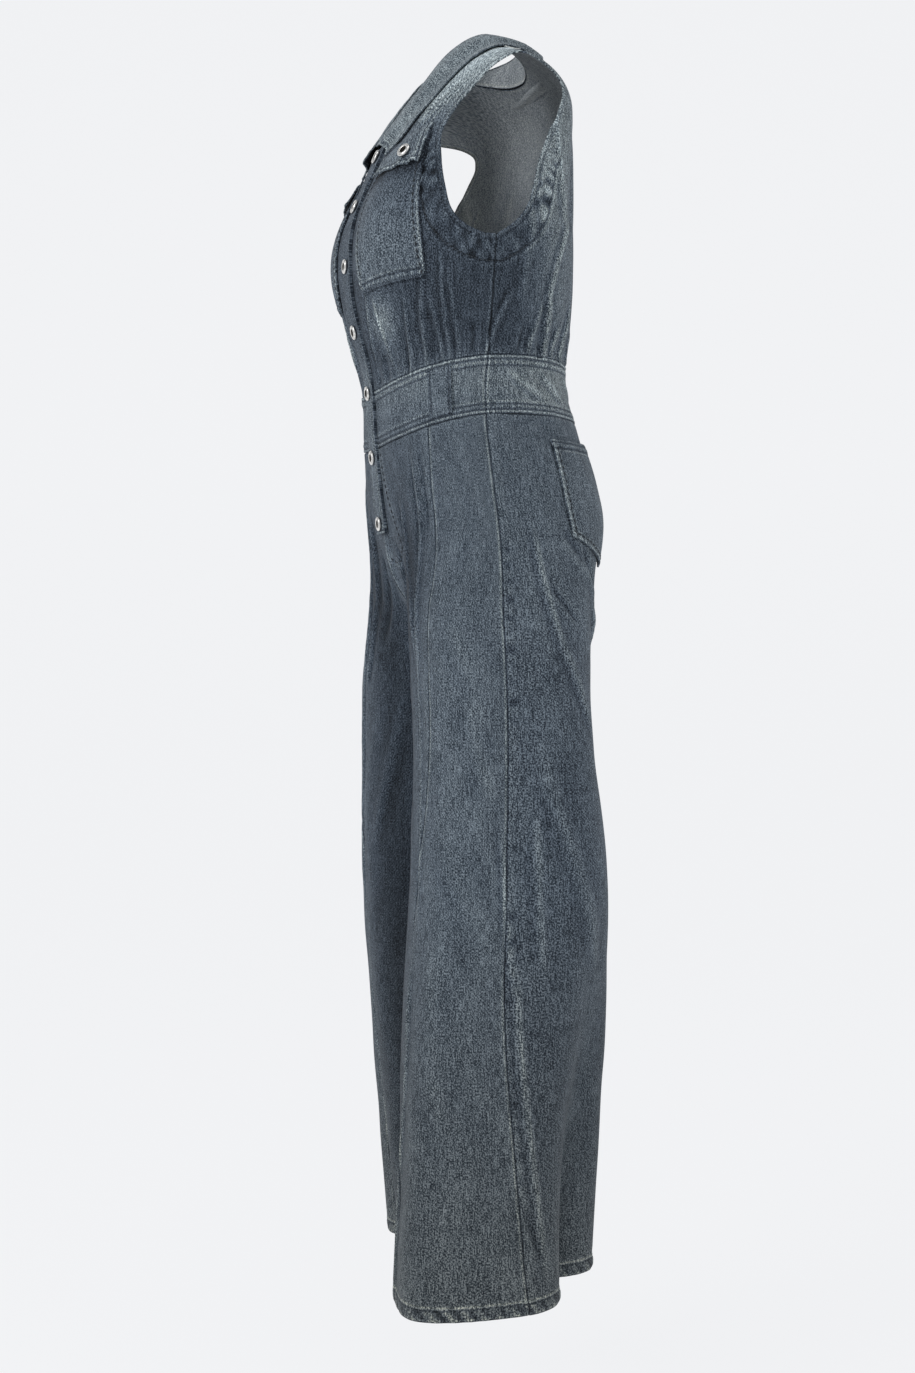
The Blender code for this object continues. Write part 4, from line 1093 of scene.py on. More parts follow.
def finish_armhole(panel, hole, side_line, name, side_name):
    """Bind the armhole's edge, draw in the facing behind it and roll the side seam below it."""
    panel.add_line_edge(name, hole)
    panel.add_line_edge(side_name, side_line)
    away = panel.edge[name]
    bound = 1 - smoothstep((away - 0.0042) / 0.0010)
    panel.relief += 0.0007 * bound - 0.0009 * np.exp(-((away / 0.0010) ** 2))
    beyond = 0.50 * bump_at(away, 0.0056, 0.0011)
    panel.tone *= 1 + 0.30 * bound - beyond + 0.25 * bump_at(away, 0.0080, 0.0012)
    below = smoothstep((-0.120 - panel.base[..., 2]) / 0.05)
    band = below * smoothstep((0.030 - away) / 0.003) * smoothstep((away - 0.005) / 0.004)
    ridge = uneven(panel.along[name] - 0.5 * away, 0.0230, panel.phase + 0.7)
    wave = uneven(panel.along[name] + 0.3 * away, 0.0150, panel.phase) * np.sin(away / 0.0065 + panel.phase)
    panel.relief += (0.0016 * wave + 0.0007 * ridge) * band - 0.0010 * below * bump_at(away, 0.029, 0.0018)
    line = bump_at(away, 0.0325, 0.0016) * 0.55 - 0.65 * bump_at(away, 0.0290, 0.0018)
    panel.tone *= 1 + (0.14 + 0.60 * wave + 0.30 * ridge) * band + below * line
    if "back" in side_name:
        panel.relief += 0.0004 * smoothstep((0.010 - panel.edge[side_name]) / 0.002)
    # The side seam rolls in: a dark line, and beside it a lighter line, partly wear and partly a painted
    # highlight, stronger on the front.
    roll = np.exp(-((panel.edge[side_name] / 0.0011) ** 2))
    panel.relief -= 0.0006 * roll
    light = 0.10 if "back" in side_name else 0.90
    panel.tone *= 1 - 0.60 * roll + light * bump_at(panel.edge[side_name], 0.0023, 0.0010)


def bodice_front(side):
    steps = bodice_steps()
    spread = spaced(BODICE_RUN, BODICE)[None, :]
    angle, z = bodice_patch(steps, spread, front_inner_edge, ARMHOLE_FRONT, from_back=False)
    angle = angle - SIDE_ANGLE_GAP * (spread == 1)
    points = torso(angle, z)
    seat_on_shoulder(points, SHOULDER_Y - SEAM_GAP / 2)
    relief, wear_and_shade = torso_relief(angle, z, side)
    panel = Panel(points, (angle * TORSO_GIRTH, z), relief, 0.3 if side == "left" else 1.9, wear_and_shade)
    panel.tone = body_wash_and_light(angle, z)
    hole = points[steps >= ARMPIT_V - 1e-9, -1]
    line = points[steps <= ARMPIT_V + 1e-9, -1]
    finish_armhole(panel, hole, line, "hole", "side_front")
    panel.rolled("low", depth=0.0010, dark=0.5, light=0.2)
    panel.rolled("high", depth=0.0005)
    sided_piece(panel, "bodice_front", side)
    mirrored = side == "right"
    for row in ARMHOLE_ROWS:
        sew("bodice", below_shoulder(panel.contour("hole", row), row), mirrored)
    sew("bodice", panel.contour("high", NECK_ROW), mirrored)


def below_shoulder(line, row):
    """Keep the facing's stitches where the facing shows, below the chest."""
    if line is None or row < 0.01:
        return line
    kept = line[0][:, 2] < -0.135
    return line[0][kept], line[1][kept]


def bodice_back():
    steps = bodice_steps()
    half = spaced(BODICE_RUN, BODICE, first=False)[None, :]
    angle, z = bodice_patch(steps, half, back_inner_edge, ARMHOLE_BACK, from_back=True)
    angle = angle + SIDE_ANGLE_GAP * (half == 1)
    x = torso(angle[-1], z[-1])[:, 0]
    neckline = NECK_BACK_Z + (shoulder_z(NECK_X) - NECK_BACK_Z) * np.clip(np.abs(x) / NECK_X, 0, 1) ** 2.5
    target = np.where(np.abs(x) < NECK_X, neckline, shoulder_z(x))
    z = z + (target - z[-1]) * steps[:, None] ** 4
    near, far = torso_relief(angle, z, "left"), torso_relief(angle, z, "right")
    relief, wear_and_shade = (np.concatenate((near[k][:, ::-1], far[k][:, 1:]), axis=1) for k in (0, 1))
    angle = np.concatenate((angle[:, ::-1], 2 * math.pi - angle[:, 1:]), axis=1)
    z = np.concatenate((z[:, ::-1], z[:, 1:]), axis=1)
    points = torso(angle, z)
    seat_on_shoulder(points, SHOULDER_Y + SEAM_GAP / 2)
    middle = 0.5 + 0.5 * np.cos(math.pi * np.clip((angle - math.pi) / 0.06, -1, 1))
    relief = relief * (1 - middle) + smoothed(relief, 12) * middle
    panel = Panel(points, (angle * TORSO_GIRTH, z), relief, 1.1, wear_and_shade * (1 - middle))
    panel.tone = body_wash_and_light(np.minimum(angle, 2 * math.pi - angle), z)
    above, under = steps >= ARMPIT_V - 1e-9, steps <= ARMPIT_V + 1e-9
    finish_armhole(panel, points[above, 0], points[under, 0], "hole_left", "side_back_left")
    finish_armhole(panel, points[above, -1], points[under, -1], "hole_right", "side_back_right")
    panel.rolled("low", depth=0.0010, dark=0.5, light=0.2)
    panel.rolled("high", depth=0.0005)
    cloth_piece(panel, "bodice_back")
    for name in ("hole_left", "hole_right"):
        for row in ARMHOLE_ROWS:
            sew("bodice", below_shoulder(panel.contour(name, row), row))
    sew("bodice", panel.contour("high", NECK_ROW))


# ---------------------------------------------------------------- collar
def neckline(turn):
    """Point of the neckline: turn 0 centre back, 1 centre front, on the wearer's left."""
    behind = np.clip(turn / NECKLINE_TURN, 0, 1)
    back_x = NECK_X * np.sin(behind * math.pi / 2)
    back_z = NECK_BACK_Z + (shoulder_z(NECK_X) - NECK_BACK_Z) * (back_x / NECK_X) ** 2.5
    back = torso(math.pi - angle_at(back_x, back_z), back_z)
    v = 1 - (1 - NECK_V) * np.clip((turn - NECKLINE_TURN) / (1 - NECKLINE_TURN), 0, 1)
    front_x, front_z = column(NECKLINE_FRONT, "x", v), column(NECKLINE_FRONT, "z", v)
    front = torso(angle_at(front_x, front_z), front_z)
    return np.where((turn < NECKLINE_TURN)[..., None], back, front)


def collar_line(table, turn):
    return np.stack([column(table, name, turn) for name in ("x", "y", "z")], axis=-1)


def both_sides(half):
    return np.concatenate((half[:, :0:-1] * np.array((-1.0, 1.0, 1.0)), half), axis=1)


def laid_on_shoulders(points, drop):
    """Keep a fall clear of the shoulders, and bring it down on them toward its edge."""
    x, y, z = np.moveaxis(points, -1, 0)
    ahead = y < SHOULDER_Y
    side, reach = superellipse(angle_at(np.abs(x), z), column(TORSO, "squareness", z))
    side_y = column(TORSO, "side_y", z)
    front = side_y - (column(TORSO, "front", z) + side_y) * reach
    back = side_y + (column(TORSO, "back", z) - side_y) * reach
    depth = np.where(ahead, front, back) - SHOULDER_Y
    roll_z = np.where(ahead, FRONT_ROLL_Z, BACK_ROLL_Z)
    rise = np.clip(z - roll_z, 0, None)
    out = np.hypot((y - SHOULDER_Y) / depth, rise / (shoulder_z(x) - roll_z))
    radius = np.hypot(y - SHOULDER_Y, rise)
    surface = radius / out
    most = COLLAR_LIES + 0.0006 + 0.06 * (1 - smoothstep(drop / 0.75))
    scale = (surface + np.clip(radius - surface, COLLAR_LIES, most)) / radius
    lift = np.where(z > roll_z, roll_z + rise * scale, z)
    return np.stack((x, SHOULDER_Y + (y - SHOULDER_Y) * scale, lift), axis=-1)


def collar_stand(turn, fold):
    gap = np.array((0, 0, COLLAR_GAP))
    foot = neckline(turn) + gap
    rise = spaced(STAND_RUN, FINE)[:, None, None]
    stand = both_sides(foot + (fold - gap - foot) * rise)[:, ::-1]
    panel = Panel(stand, (arc_length(stand, 1), arc_length(stand, 0)), phase=0.7)
    panel.tone *= 1.20
    panel.rolled("low")
    cloth_piece(panel, "collar_stand")


def collar_fall(turn, fold):
    drop = spaced(FALL_RUN, FINE)[::-1][:, None, None]
    edge = collar_line(COLLAR_EDGE, turn)
    outward = unit(fold * np.array((1, 1, 0)) + np.array((0, 0, 1e-6)))
    start = fold + outward * FOLD_CLEARANCE[0] + np.array((0, 0, FOLD_CLEARANCE[1]))
    fall = both_sides(start + (edge - start) * drop)[:, ::-1]
    fall = fall + grid_normals(fall) * COLLAR_BULGE * np.sin(drop * math.pi)
    fall = laid_on_shoulders(fall, drop[..., 0])
    inward = -both_sides(outward[None])[0][::-1]
    lip = []
    for roll in np.linspace(0.5, math.pi, 5):
        over = np.array((0, 0, 0.0009 * math.sin(roll)))
        lip.append(fall[-1] + inward * 0.0011 * (1 - math.cos(roll)) + over)
    fall = np.concatenate((fall, np.array(lip)))
    across, up = arc_length(fall, 1), arc_length(fall, 0)
    panel = Panel(fall, (across, up), 0.5 * softness(across, up, 0.2), phase=2.2)
    panel.tone *= 1.32
    panel.sewn("low", (COLLAR_ROW,), height=0.0004, pucker=0.00025, pitch=0.011)
    panel.rolled("low", depth=0.0004, dark=0.25, light=0.30)
    for name in ("left", "right"):
        panel.sewn(name, (COLLAR_ROW,), height=0.0004, pucker=0.0002, pitch=0.011)
    cloth_piece(panel, "collar_fall")
    sew_rows("collar", panel)


def collar():
    turn = spaced(COLLAR_RUN, FINE, first=False) * COLLAR_END_TURN
    fold = collar_line(COLLAR_FOLD, turn)
    collar_stand(turn, fold)
    collar_fall(turn, fold)


# ---------------------------------------------------------------- waistband and tabs
def waistband(node, first, last):
    angle = np.radians(first + (last - first) * spaced(math.radians(last - first) * TORSO_GIRTH, BAND))
    angle[0] += SIDE_ANGLE_GAP
    angle[-1] -= SIDE_ANGLE_GAP
    share = spaced(WAISTBAND_HEIGHT, 0.0023, offsets=SEWN_OFFSETS)[:, None]
    low, high = hip_seam_z(angle) + SEAM_GAP / 2, waist_seam_z(angle) - SEAM_GAP / 2
    z = low + (high - low) * share
    angle = np.broadcast_to(angle, z.shape)
    folded = np.where(angle > math.pi, 2 * math.pi - angle, np.abs(angle))
    on_right = (angle < 0) | (angle > math.pi)
    relief, wear_and_shade = (np.where(on_right, far, near) for far, near
                    in zip(torso_relief(folded, z, "right"), torso_relief(folded, z, "left")))
    panel = Panel(torso(angle, z), (angle * TORSO_GIRTH, z), relief, first / 31, wear_and_shade)
    panel.tone = body_wash_and_light(folded, z)
    panel.rolled("left", "right", depth=0.0006, dark=0.45, light=0.50)
    panel.rolled("low", "high", depth=0.0008, dark=0.45, light=1.00)
    panel.sewn("high", WAIST_HIGH_ROWS, height=0.0008, pucker=0.00035, pitch=0.0066)
    panel.sewn("low", WAIST_LOW_ROWS, height=0.0008, pucker=0.00032, pitch=0.0072)
    cloth_piece(panel, node)
    sew_rows("waist", panel)


def lifted(points, lift):
    return points + grid_normals(points) * np.asarray(lift)[..., None]


def on_torso(angle, z, side, lift):
    """A layer on the body that follows its creases, moved out to its own outer face."""
    base = torso(angle, z)
    return lifted(base, lift + torso_relief(np.abs(angle), z, side)[0])


def waist_tab(side):
    angle = np.radians(TAB_ANGLE + (2 * spaced(TAB_RUN[0], 0.0019) - 1) * TAB_HALF_ANGLE)[None, :]
    up = TAB_MARGIN + (WAISTBAND_HEIGHT - 2 * TAB_MARGIN) * spaced(TAB_RUN[1], 0.0022)
    z = up[:, None] + hip_seam_z(angle)
    angle = np.broadcast_to(angle, z.shape)
    points = on_torso(angle, z, side, np.full(z.shape, LAYER_GAP + WALL + 0.0004))
    panel = Panel(points, (angle * TORSO_GIRTH, z), phase=0.9)
    panel.tone *= 0.88
    panel.rolled("left", "right", "low", "high", depth=0.0005, dark=0.30, light=0.12)
    for name in ("left", "right"):
        panel.sewn(name, (TAB_ROW,), height=0.0003, pucker=0.0002, painted_light_and_wear=0.15)
    sided_piece(panel, "waist_tab", side)
    sew_rows("waist", panel, side == "right")


# ---------------------------------------------------------------- legs
def leg_rows(girth):
    """Heights of the rows at each girth position, hem first, closest together round the crotch curve."""
    top = hip_seam_z(math.pi * girth) - SEAM_GAP / 2
    curve = np.sin(np.linspace(0, math.pi / 2, 30))[1:]
    waist = [top + (CROTCH_TOP_Z - top) * share for share in spaced(RISE_RUN, LEG_UP / 2, last=False)]
    rise = [CROTCH_TOP_Z + (CROTCH_Z - CROTCH_TOP_Z) * share for share in curve]
    low = np.arange(CROTCH_Z - LEG_UP, HEM_Z + HEM_BAND, -LEG_UP)
    band = HEM_Z + HEM_BAND * (1 - spaced(HEM_BAND, 0.0022, first=False))
    rows = waist + [np.full(girth.shape, z) for z in [*rise, *low, *band]]
    return raised_at_back(girth, np.array(rows[::-1]))


def raised_at_back(girth, z):
    """The hem hangs a little higher at the back of the leg."""
    high = HEM_RISE * smoothstep((girth - 0.60) / 0.09) * smoothstep((0.97 - girth) / 0.15)
    return z + high * smoothstep((CROTCH_Z - z) / 0.45)


def across_panel(edges, z, share):
    """Girth positions across a panel, a seam gap short of its two edges: each a girth, or "seam"."""
    seam = column(FRONT_SEAM, "girth", z)
    left, right = (seam if edge == "seam" else np.full(z.shape, edge) for edge in edges)
    left, right = left + SEAM_GAP / 2 / LEG_GIRTH, right - SEAM_GAP / 2 / LEG_GIRTH
    return left + (right - left) * share


def hem_relief(panel):
    """The turned hem, drawn into slanting ridges by its stitching."""
    panel.sewn("low", (HEM_GROOVE,), height=0.0008, pucker=0.0007, pitch=0.0190, lean=0.9)
    away = panel.edge["low"]
    wave = uneven(panel.along["low"] + 0.9 * away, 0.0190, panel.phase)
    fine = uneven(panel.along["low"] + 0.6 * away, 0.0086, panel.phase + 1.0)
    panel.tone *= 1 + (0.42 * wave + 0.36 * fine - 0.24) * smoothstep((HEM_GROOVE - away) / 0.002)
    panel.tone *= 1 + 1.60 * bump_at(away, HEM_LIGHT, 0.0011)
    panel.rolled("low", depth=0.0010, dark=0.60, light=0.60)


def leg_panel(kind, side, edges, width):
    """One panel of a leg between two edges, each a girth position or the seam between the front panels."""
    share = spaced(width, LEG_ACROSS if kind != "leg_front_inner" else 0.0028)
    z = leg_rows(across_panel(edges, np.full(share.shape, hip_seam_z(0.0)), share))
    girth = across_panel(edges, z, share)
    points = leg(side, girth, z)
    middle = np.abs(points[..., 0]) < SEAM_GAP / 2
    points[..., 0] = np.where(middle, SEAM_GAP / 2, points[..., 0])
    relief, wear_and_shade = leg_relief(side, girth, z)
    panel = Panel(points, (girth * LEG_GIRTH, z), relief, edges[1] if edges[1] != "seam" else 0.2, wear_and_shade)
    panel.tone = leg_wash_and_shade(girth, z)
    panel.rolled("left", light=0.10 if kind == "leg_back" else 0.75)
    panel.rolled("right", light=0.90 if kind == "leg_front_outer" else 0.15)
    panel.rolled("high", depth=0.0010, dark=0.55, light=0.12)
    hem_relief(panel)
    if kind == "leg_back":
        allowance(panel, z)
    if kind == "leg_front_inner" and side == "left":
        fly_stitching(panel, side)
    sided_piece(panel, kind, side)
    sew("hems", panel.contour("low", HEM_ROW), side == "right", pitch=0.0038)


FLY = (
    ("girth", "z"),
    (0.043, -0.448),
    (0.047, -0.478),
    (0.058, -0.506),
    (0.073, -0.532),
    (0.092, -0.556),
    (0.108, -0.575),
    (0.082, -0.588),
    (0.040, -0.590),
    (0.010, -0.584),
)


def fly_stitching(panel, side):
    """The curved row of thick stitches that holds the fly's facing."""
    girth, z = np.array(FLY[1:]).T
    panel.add_line_edge("fly", leg(side, girth, z))
    away, along = panel.edge["fly"], panel.along["fly"]
    wave = uneven(along, 0.0075, 0.3)
    panel.relief -= 0.0008 * np.exp(-(away / 0.0016) ** 2)
    groove = (0.7 + 0.3 * wave) * np.exp(-(away / 0.0018) ** 2)
    panel.tone *= 1 - 0.20 * groove + 0.45 * bump_at(away, 0.0040, 0.0018)
    fine = np.linspace(0, len(z) - 1, 60)
    girth, z = (np.interp(fine, np.arange(len(z)), values)[None] for values in (girth, z))
    normals = surface_normals(partial(leg, side), girth, z, (0.008, 0.004))[0]
    relief = leg_relief(side, girth, z)[0][0, :, None]
    bold_sewing((leg(side, girth, z)[0] + normals * (relief - 0.0003), normals))


def allowance(panel, z):
    """The side seam's allowance, pressed to the back and dented by the stitching under it, with painted shade
    in the dents.
    """
    away = panel.edge["left"]
    panel.relief += 0.0005 * smoothstep((0.0125 - away) / 0.003)
    for number, height in enumerate(SEAM_DENTS):
        size = 0.75 + 0.25 * math.sin(2.3 * number)
        dent = size * np.exp(-((z - height) / 0.0030) ** 2 - ((away - 0.0065) / 0.0050) ** 2)
        panel.relief -= 0.0014 * dent
        panel.tone *= 1 - 0.60 * dent


def legs():
    for side in ("left", "right"):
        leg_panel("leg_front_inner", side, (0.0, "seam"), 0.175)
        leg_panel("leg_front_outer", side, ("seam", 0.5), 0.155)
        leg_panel("leg_back", side, (0.5, 1.0), 0.360)


def surface_normals(surface, u, z, step):
    du, dz = step
    along = surface(u + du, z) - surface(u - du, z)
    up = surface(u, z + dz) - surface(u, z - dz)
    return unit(np.cross(along, up))


def hem(side):
    """The turned-up edge inside a leg's mouth."""
    girth = np.linspace(0, 1, 160, endpoint=False)[None, :]
    z = (HEM_Z + 0.0006 + HEM_HEIGHT * spaced(HEM_HEIGHT, 0.0030))[:, None]
    girth, z = np.broadcast_arrays(girth, z)
    z = raised_at_back(girth, z)
    normals = surface_normals(partial(leg, side), girth, z, (0.012, 0.004))
    points = leg(side, girth, z) - normals * (WALL + LAYER_GAP)
    panel = Panel(points, (girth * LEG_GIRTH, z), 0.0004 * uneven(girth * LEG_GIRTH, 0.0135, 0.5))
    panel.normals = normals
    sided_piece(panel, "hem", side, wrap=True)


# ---------------------------------------------------------------- placket and pockets
def placket():
    across = (2 * spaced(2 * PLACKET_HALF, 0.0021) - 1)[None, :] * PLACKET_HALF
    z = (PLACKET_END_Z + (PLACKET_TOP_Z - PLACKET_END_Z) * spaced(PLACKET_RUN, FINE))[:, None]
    across, z = np.broadcast_arrays(across, z)
    angle = angle_at(across, z)
    points = lifted(torso(angle, z), np.full(z.shape, LAYER_GAP + 2 * WALL))
    pull = sum(np.exp(-((z - height) / 0.011) ** 2) for height in BUTTON_HEIGHTS)
    relief = 0.0022 * (0.5 - pull) * np.cos(across / PLACKET_HALF * 1.2) + 0.6 * softness(across, z, 0.9)
    panel = Panel(points, (across, z), relief, phase=0.5)
    panel.tone = 0.62 + 0.30 * smoothstep((-0.34 - z) / 0.04)
    panel.rolled("left", "right", "low", depth=0.0008, dark=0.30, light=0.34)
    for name in ("left", "right"):
        panel.sewn(name, (PLACKET_ROW,), height=0.0003, pucker=0.0003, pitch=0.009)
    panel.sewn("low", (PLACKET_ROW,), height=0.0002, pucker=0.0001)
    cloth_piece(panel, "placket", thickness=2 * WALL)
    sew_rows("bodice", panel)


def placket_under():
    """The band that carries the buttons, plain because the other lies over it."""
    z = np.linspace(hip_seam_z(0.0), PLACKET_TOP_Z - 0.006, 90)[:, None]
    across = np.linspace(-0.9, 0.9, 12)[None, :] * PLACKET_HALF
    across, z = np.broadcast_arrays(across, z)
    points = lifted(torso(angle_at(across, z), z), np.full(z.shape, -WALL - 2 * LAYER_GAP))
    panel = Panel(points, (across, z))
    cloth_piece(panel, "placket_under")


CHEST_TURN = 1.15


def toward_side(share):
    """Share of the way out across the chest, closer together where the body turns to the side."""
    return np.sin(CHEST_TURN * share) / math.sin(CHEST_TURN)


def chest_pocket(side):
    share = spaced(CHEST_POCKET_RUN[0], BAND, offsets=SEWN_OFFSETS)[None, :]
    span = toward_side(share)
    low = CHEST_POCKET_LOW_Z[0] + (CHEST_POCKET_LOW_Z[1] - CHEST_POCKET_LOW_Z[0]) * span
    corner = np.clip(0.0075 - np.minimum(share, 1 - share) * CHEST_POCKET_RUN[0], 0, None)
    up = spaced(CHEST_POCKET_RUN[1], BAND, offsets=SEWN_OFFSETS)[:, None]
    z = low + (CHEST_POCKET_TOP_Z - low) * up + corner * (1 - up) ** 6
    x = CHEST_POCKET_X[0] + (CHEST_POCKET_X[1] + 0.0020 - 0.0060 * (1 - up) - CHEST_POCKET_X[0]) * span
    points = on_torso(angle_at(x, z), z, side, np.full(z.shape, LAYER_GAP + CHEST_POCKET_LIFT + WALL))
    bulge = 0.0032 * np.sin(math.pi * share) * smoothstep(up / 0.5) * smoothstep((0.93 - up) / 0.2)
    panel = Panel(points, (angle_at(x, z) * TORSO_GIRTH, z), bulge, phase=0.2)
    panel.tone *= 0.66 + 0.30 * bump_at(up, 0.20, 0.30) - 0.14 * smoothstep((share - 0.55) / 0.4)
    # Painted shadow: the pocket's top darkens under the flap.
    panel.tone *= 1 - 0.50 * smoothstep((up - 0.64) / 0.12)
    panel.rolled("left", "right", "low", depth=0.0007, dark=0.35, light=0.80)
    panel.sewn("low", CHEST_POCKET_ROWS, height=0.0005, pucker=0.0005, pitch=0.0078)
    bold_edges(panel, ("left", "right"), side == "right")
    sided_piece(panel, "chest_pocket", side)
    sew_rows("pockets", panel, side == "right")


def flap_lift(share):
    """How far the flap's outer face stands off the chest, from its sewn top edge to its free edge."""
    over_pocket = LAYER_GAP + WALL + CHEST_POCKET_LIFT
    return LAYER_GAP + WALL + over_pocket * smoothstep(share / FLAP_CLIMB) + FLAP_LIFT * share ** 1.5


def chest_flap(side):
    share = spaced(FLAP_RUN[0], 0.0022)[None, :]
    span = toward_side(share)
    x = FLAP_X[0] + (FLAP_X[1] - FLAP_X[0]) * span
    high = FLAP_TOP_Z - 0.016 * (1 - span) ** 1.5
    low = FLAP_LOW_Z - 0.5 * FLAP_POINT * (1 - np.abs(2 * span - 1))
    low = low + 0.0011 * uneven(share * FLAP_RUN[0], 0.019, 0.8)
    down = spaced(FLAP_RUN[1], 0.0022)[::-1][:, None]
    z = high + (low - high) * down
    x, down = np.broadcast_to(x, z.shape), np.broadcast_to(down, z.shape)
    points = on_torso(angle_at(x, z), z, side, flap_lift(down))
    relief = 0.0013 * uneven(share * FLAP_RUN[0] + 0.004 * down, 0.019, 0.8) * down ** 2
    panel = Panel(points, (angle_at(x, z) * TORSO_GIRTH, z), relief, phase=1.4)
    panel.rolled("left", "right", "low", depth=0.0006, dark=0.15, light=0.38)
    for name in ("left", "right", "low"):
        panel.sewn(name, (FLAP_ROW,), height=0.0005, pucker=0.0004, pitch=0.0085)
    sided_piece(panel, "chest_flap", side)
    sew_rows("pockets", panel, side == "right")


def back_pocket(side):
    share = spaced(BACK_POCKET_RUN[0], BAND, offsets=SEWN_OFFSETS)[None, :]
    inner, outer = BACK_POCKET_ANGLE
    angle = math.pi - np.radians(outer + (inner - outer) * share)
    low = BACK_POCKET_LOW_Z - BACK_POCKET_POINT * (1 - np.abs(2 * share - 1))
    z = low + (BACK_POCKET_TOP_Z - low) * spaced(BACK_POCKET_RUN[1], BAND, offsets=SEWN_OFFSETS)[:, None]
    girth = np.broadcast_to(angle / math.pi, z.shape)
    lift = LAYER_GAP + BACK_POCKET_LIFT + WALL + leg_relief(side, girth, z)[0]
    points = lifted(leg("left", girth, z), lift)
    panel = Panel(points, (girth * LEG_GIRTH, z), 0.0012 * np.sin(math.pi * share), phase=0.8)
    panel.tone *= 0.95
    panel.rolled("left", "right", "low", "high", depth=0.0007, dark=0.40, light=0.80)
    bold_edges(panel, ("left", "right", "low"), side == "right")
    panel.sewn("high", BACK_POCKET_ROWS, height=0.0006, pucker=0.0003, pitch=0.0080)
    sided_piece(panel, "back_pocket", side)
    sew_rows("pockets", panel, side == "right")


# ---------------------------------------------------------------- buttons
BUTTON_PROFILE = (
    ("radius", "height"),
    (0.90, 0.00),
    (0.98, 0.16),
    (1.00, 0.40),
    (0.97, 0.66),
    (0.90, 0.86),
    (0.80, 0.97),
    (0.70, 1.00),
    (0.60, 0.95),
    (0.53, 0.84),
    (0.49, 0.66),
    (0.46, 0.44),
    (0.42, 0.36),
    (0.30, 0.34),
    (0.26, 0.38),
    (0.22, 0.46),
    (0.16, 0.50),
    (0.05, 0.51),
)
BUTTON_SEGMENTS = 48
HOLLOW_START = 9


def button(node, place, normal):
    """A turned tack button: a rounded ring round a sunk middle, coloured near black as painted shade."""
    turn = Vector((0, 0, 1)).rotation_difference(Vector(normal)).to_matrix()
    seat = Vector(place) + Vector(normal) * SEAM_GAP
    points = []
    for radius, height in BUTTON_PROFILE[1:]:
        for i in range(BUTTON_SEGMENTS):
            around = 2 * math.pi * i / BUTTON_SEGMENTS
            spot = Vector((math.cos(around), math.sin(around), 0)) * radius * BUTTON_RADIUS
            points.append(turn @ (spot + Vector((0, 0, height * BUTTON_HEIGHT))) + seat)
    faces, indices = [], []
    rings = len(BUTTON_PROFILE) - 1
    for ring in range(rings - 1):
        for i in range(BUTTON_SEGMENTS):
            j = (i + 1) % BUTTON_SEGMENTS
            faces.append((ring * BUTTON_SEGMENTS + i, ring * BUTTON_SEGMENTS + j,
                          (ring + 1) * BUTTON_SEGMENTS + j, (ring + 1) * BUTTON_SEGMENTS + i))
            indices.append(1 if ring + 1 >= HOLLOW_START else 0)
    faces.append(tuple(reversed(range(BUTTON_SEGMENTS))))
    faces.append(tuple(range((rings - 1) * BUTTON_SEGMENTS, rings * BUTTON_SEGMENTS)))
    indices += [0, 1]
    piece = mesh_object(node + "_metal", [tuple(p) for p in points], faces, (METAL, HOLLOW_SHADE), indices)
    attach(piece, "root")
    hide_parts(node)


def buttons():
    step = (0.04, 0.005)
    for number, height in enumerate(BUTTON_HEIGHTS, start=1):
        z, angle = np.array([[height]]), np.array([[0.0]])
        normal = surface_normals(torso, angle, z, step)[0, 0]
        button("button_%d" % number, torso(angle, z)[0, 0] + normal * (LAYER_GAP + 2 * WALL), normal)
    x, z = np.array([[FLAP_BUTTON[0]]]), np.array([[FLAP_BUTTON[1]]])
    down = (FLAP_TOP_Z - FLAP_BUTTON[1]) / (FLAP_TOP_Z - FLAP_LOW_Z + FLAP_POINT * 0.8)
    normal = surface_normals(torso, angle_at(x, z), z, step)[0, 0]
    place = torso(angle_at(x, z), z)[0, 0] + normal * (flap_lift(np.float64(down)) + 2.5 * LAYER_GAP)
    normal = unit(normal + np.array(FLAP_BUTTON_TILT))
    for side, flip in (("left", 1.0), ("right", -1.0)):
        mirror = np.array((flip, 1.0, 1.0))
        button("flap_button_" + side, place * mirror, normal * mirror)


# ---------------------------------------------------------------- stage, lights and camera
BODY_AXIS_Z = -0.69
CAMERA_AZIMUTH = 73.0
CAMERA_DISTANCE = 2.05
SENSOR = 36.0                # millimetres
# Pixels of the photograph: its size, the focal length and the point that the camera looks straight at.
PHOTO_WIDTH = 915.0
PHOTO_HEIGHT = 1373.0
FOCAL_PIXELS = 1750.0
AIM_COLUMN = 463.0
AIM_ROW = 650.0
FLOOR_Z = -1.62
FLOOR_AHEAD = 6.0
FLOOR_BEHIND = 2.0
SWEEP_RADIUS = 1.5
STAGE_REACH = 7.0            # to either side, and up
LIGHTS = (
    ("name", "azimuth", "height", "distance", "size", "power"),
    ("key", 22.0, 0.9, 2.6, 1.1, 34.0),
    ("fill", 125.0, 0.3, 2.8, 1.6, 11.0),
    ("top", 80.0, 2.0, 1.1, 1.2, 13.0),
)


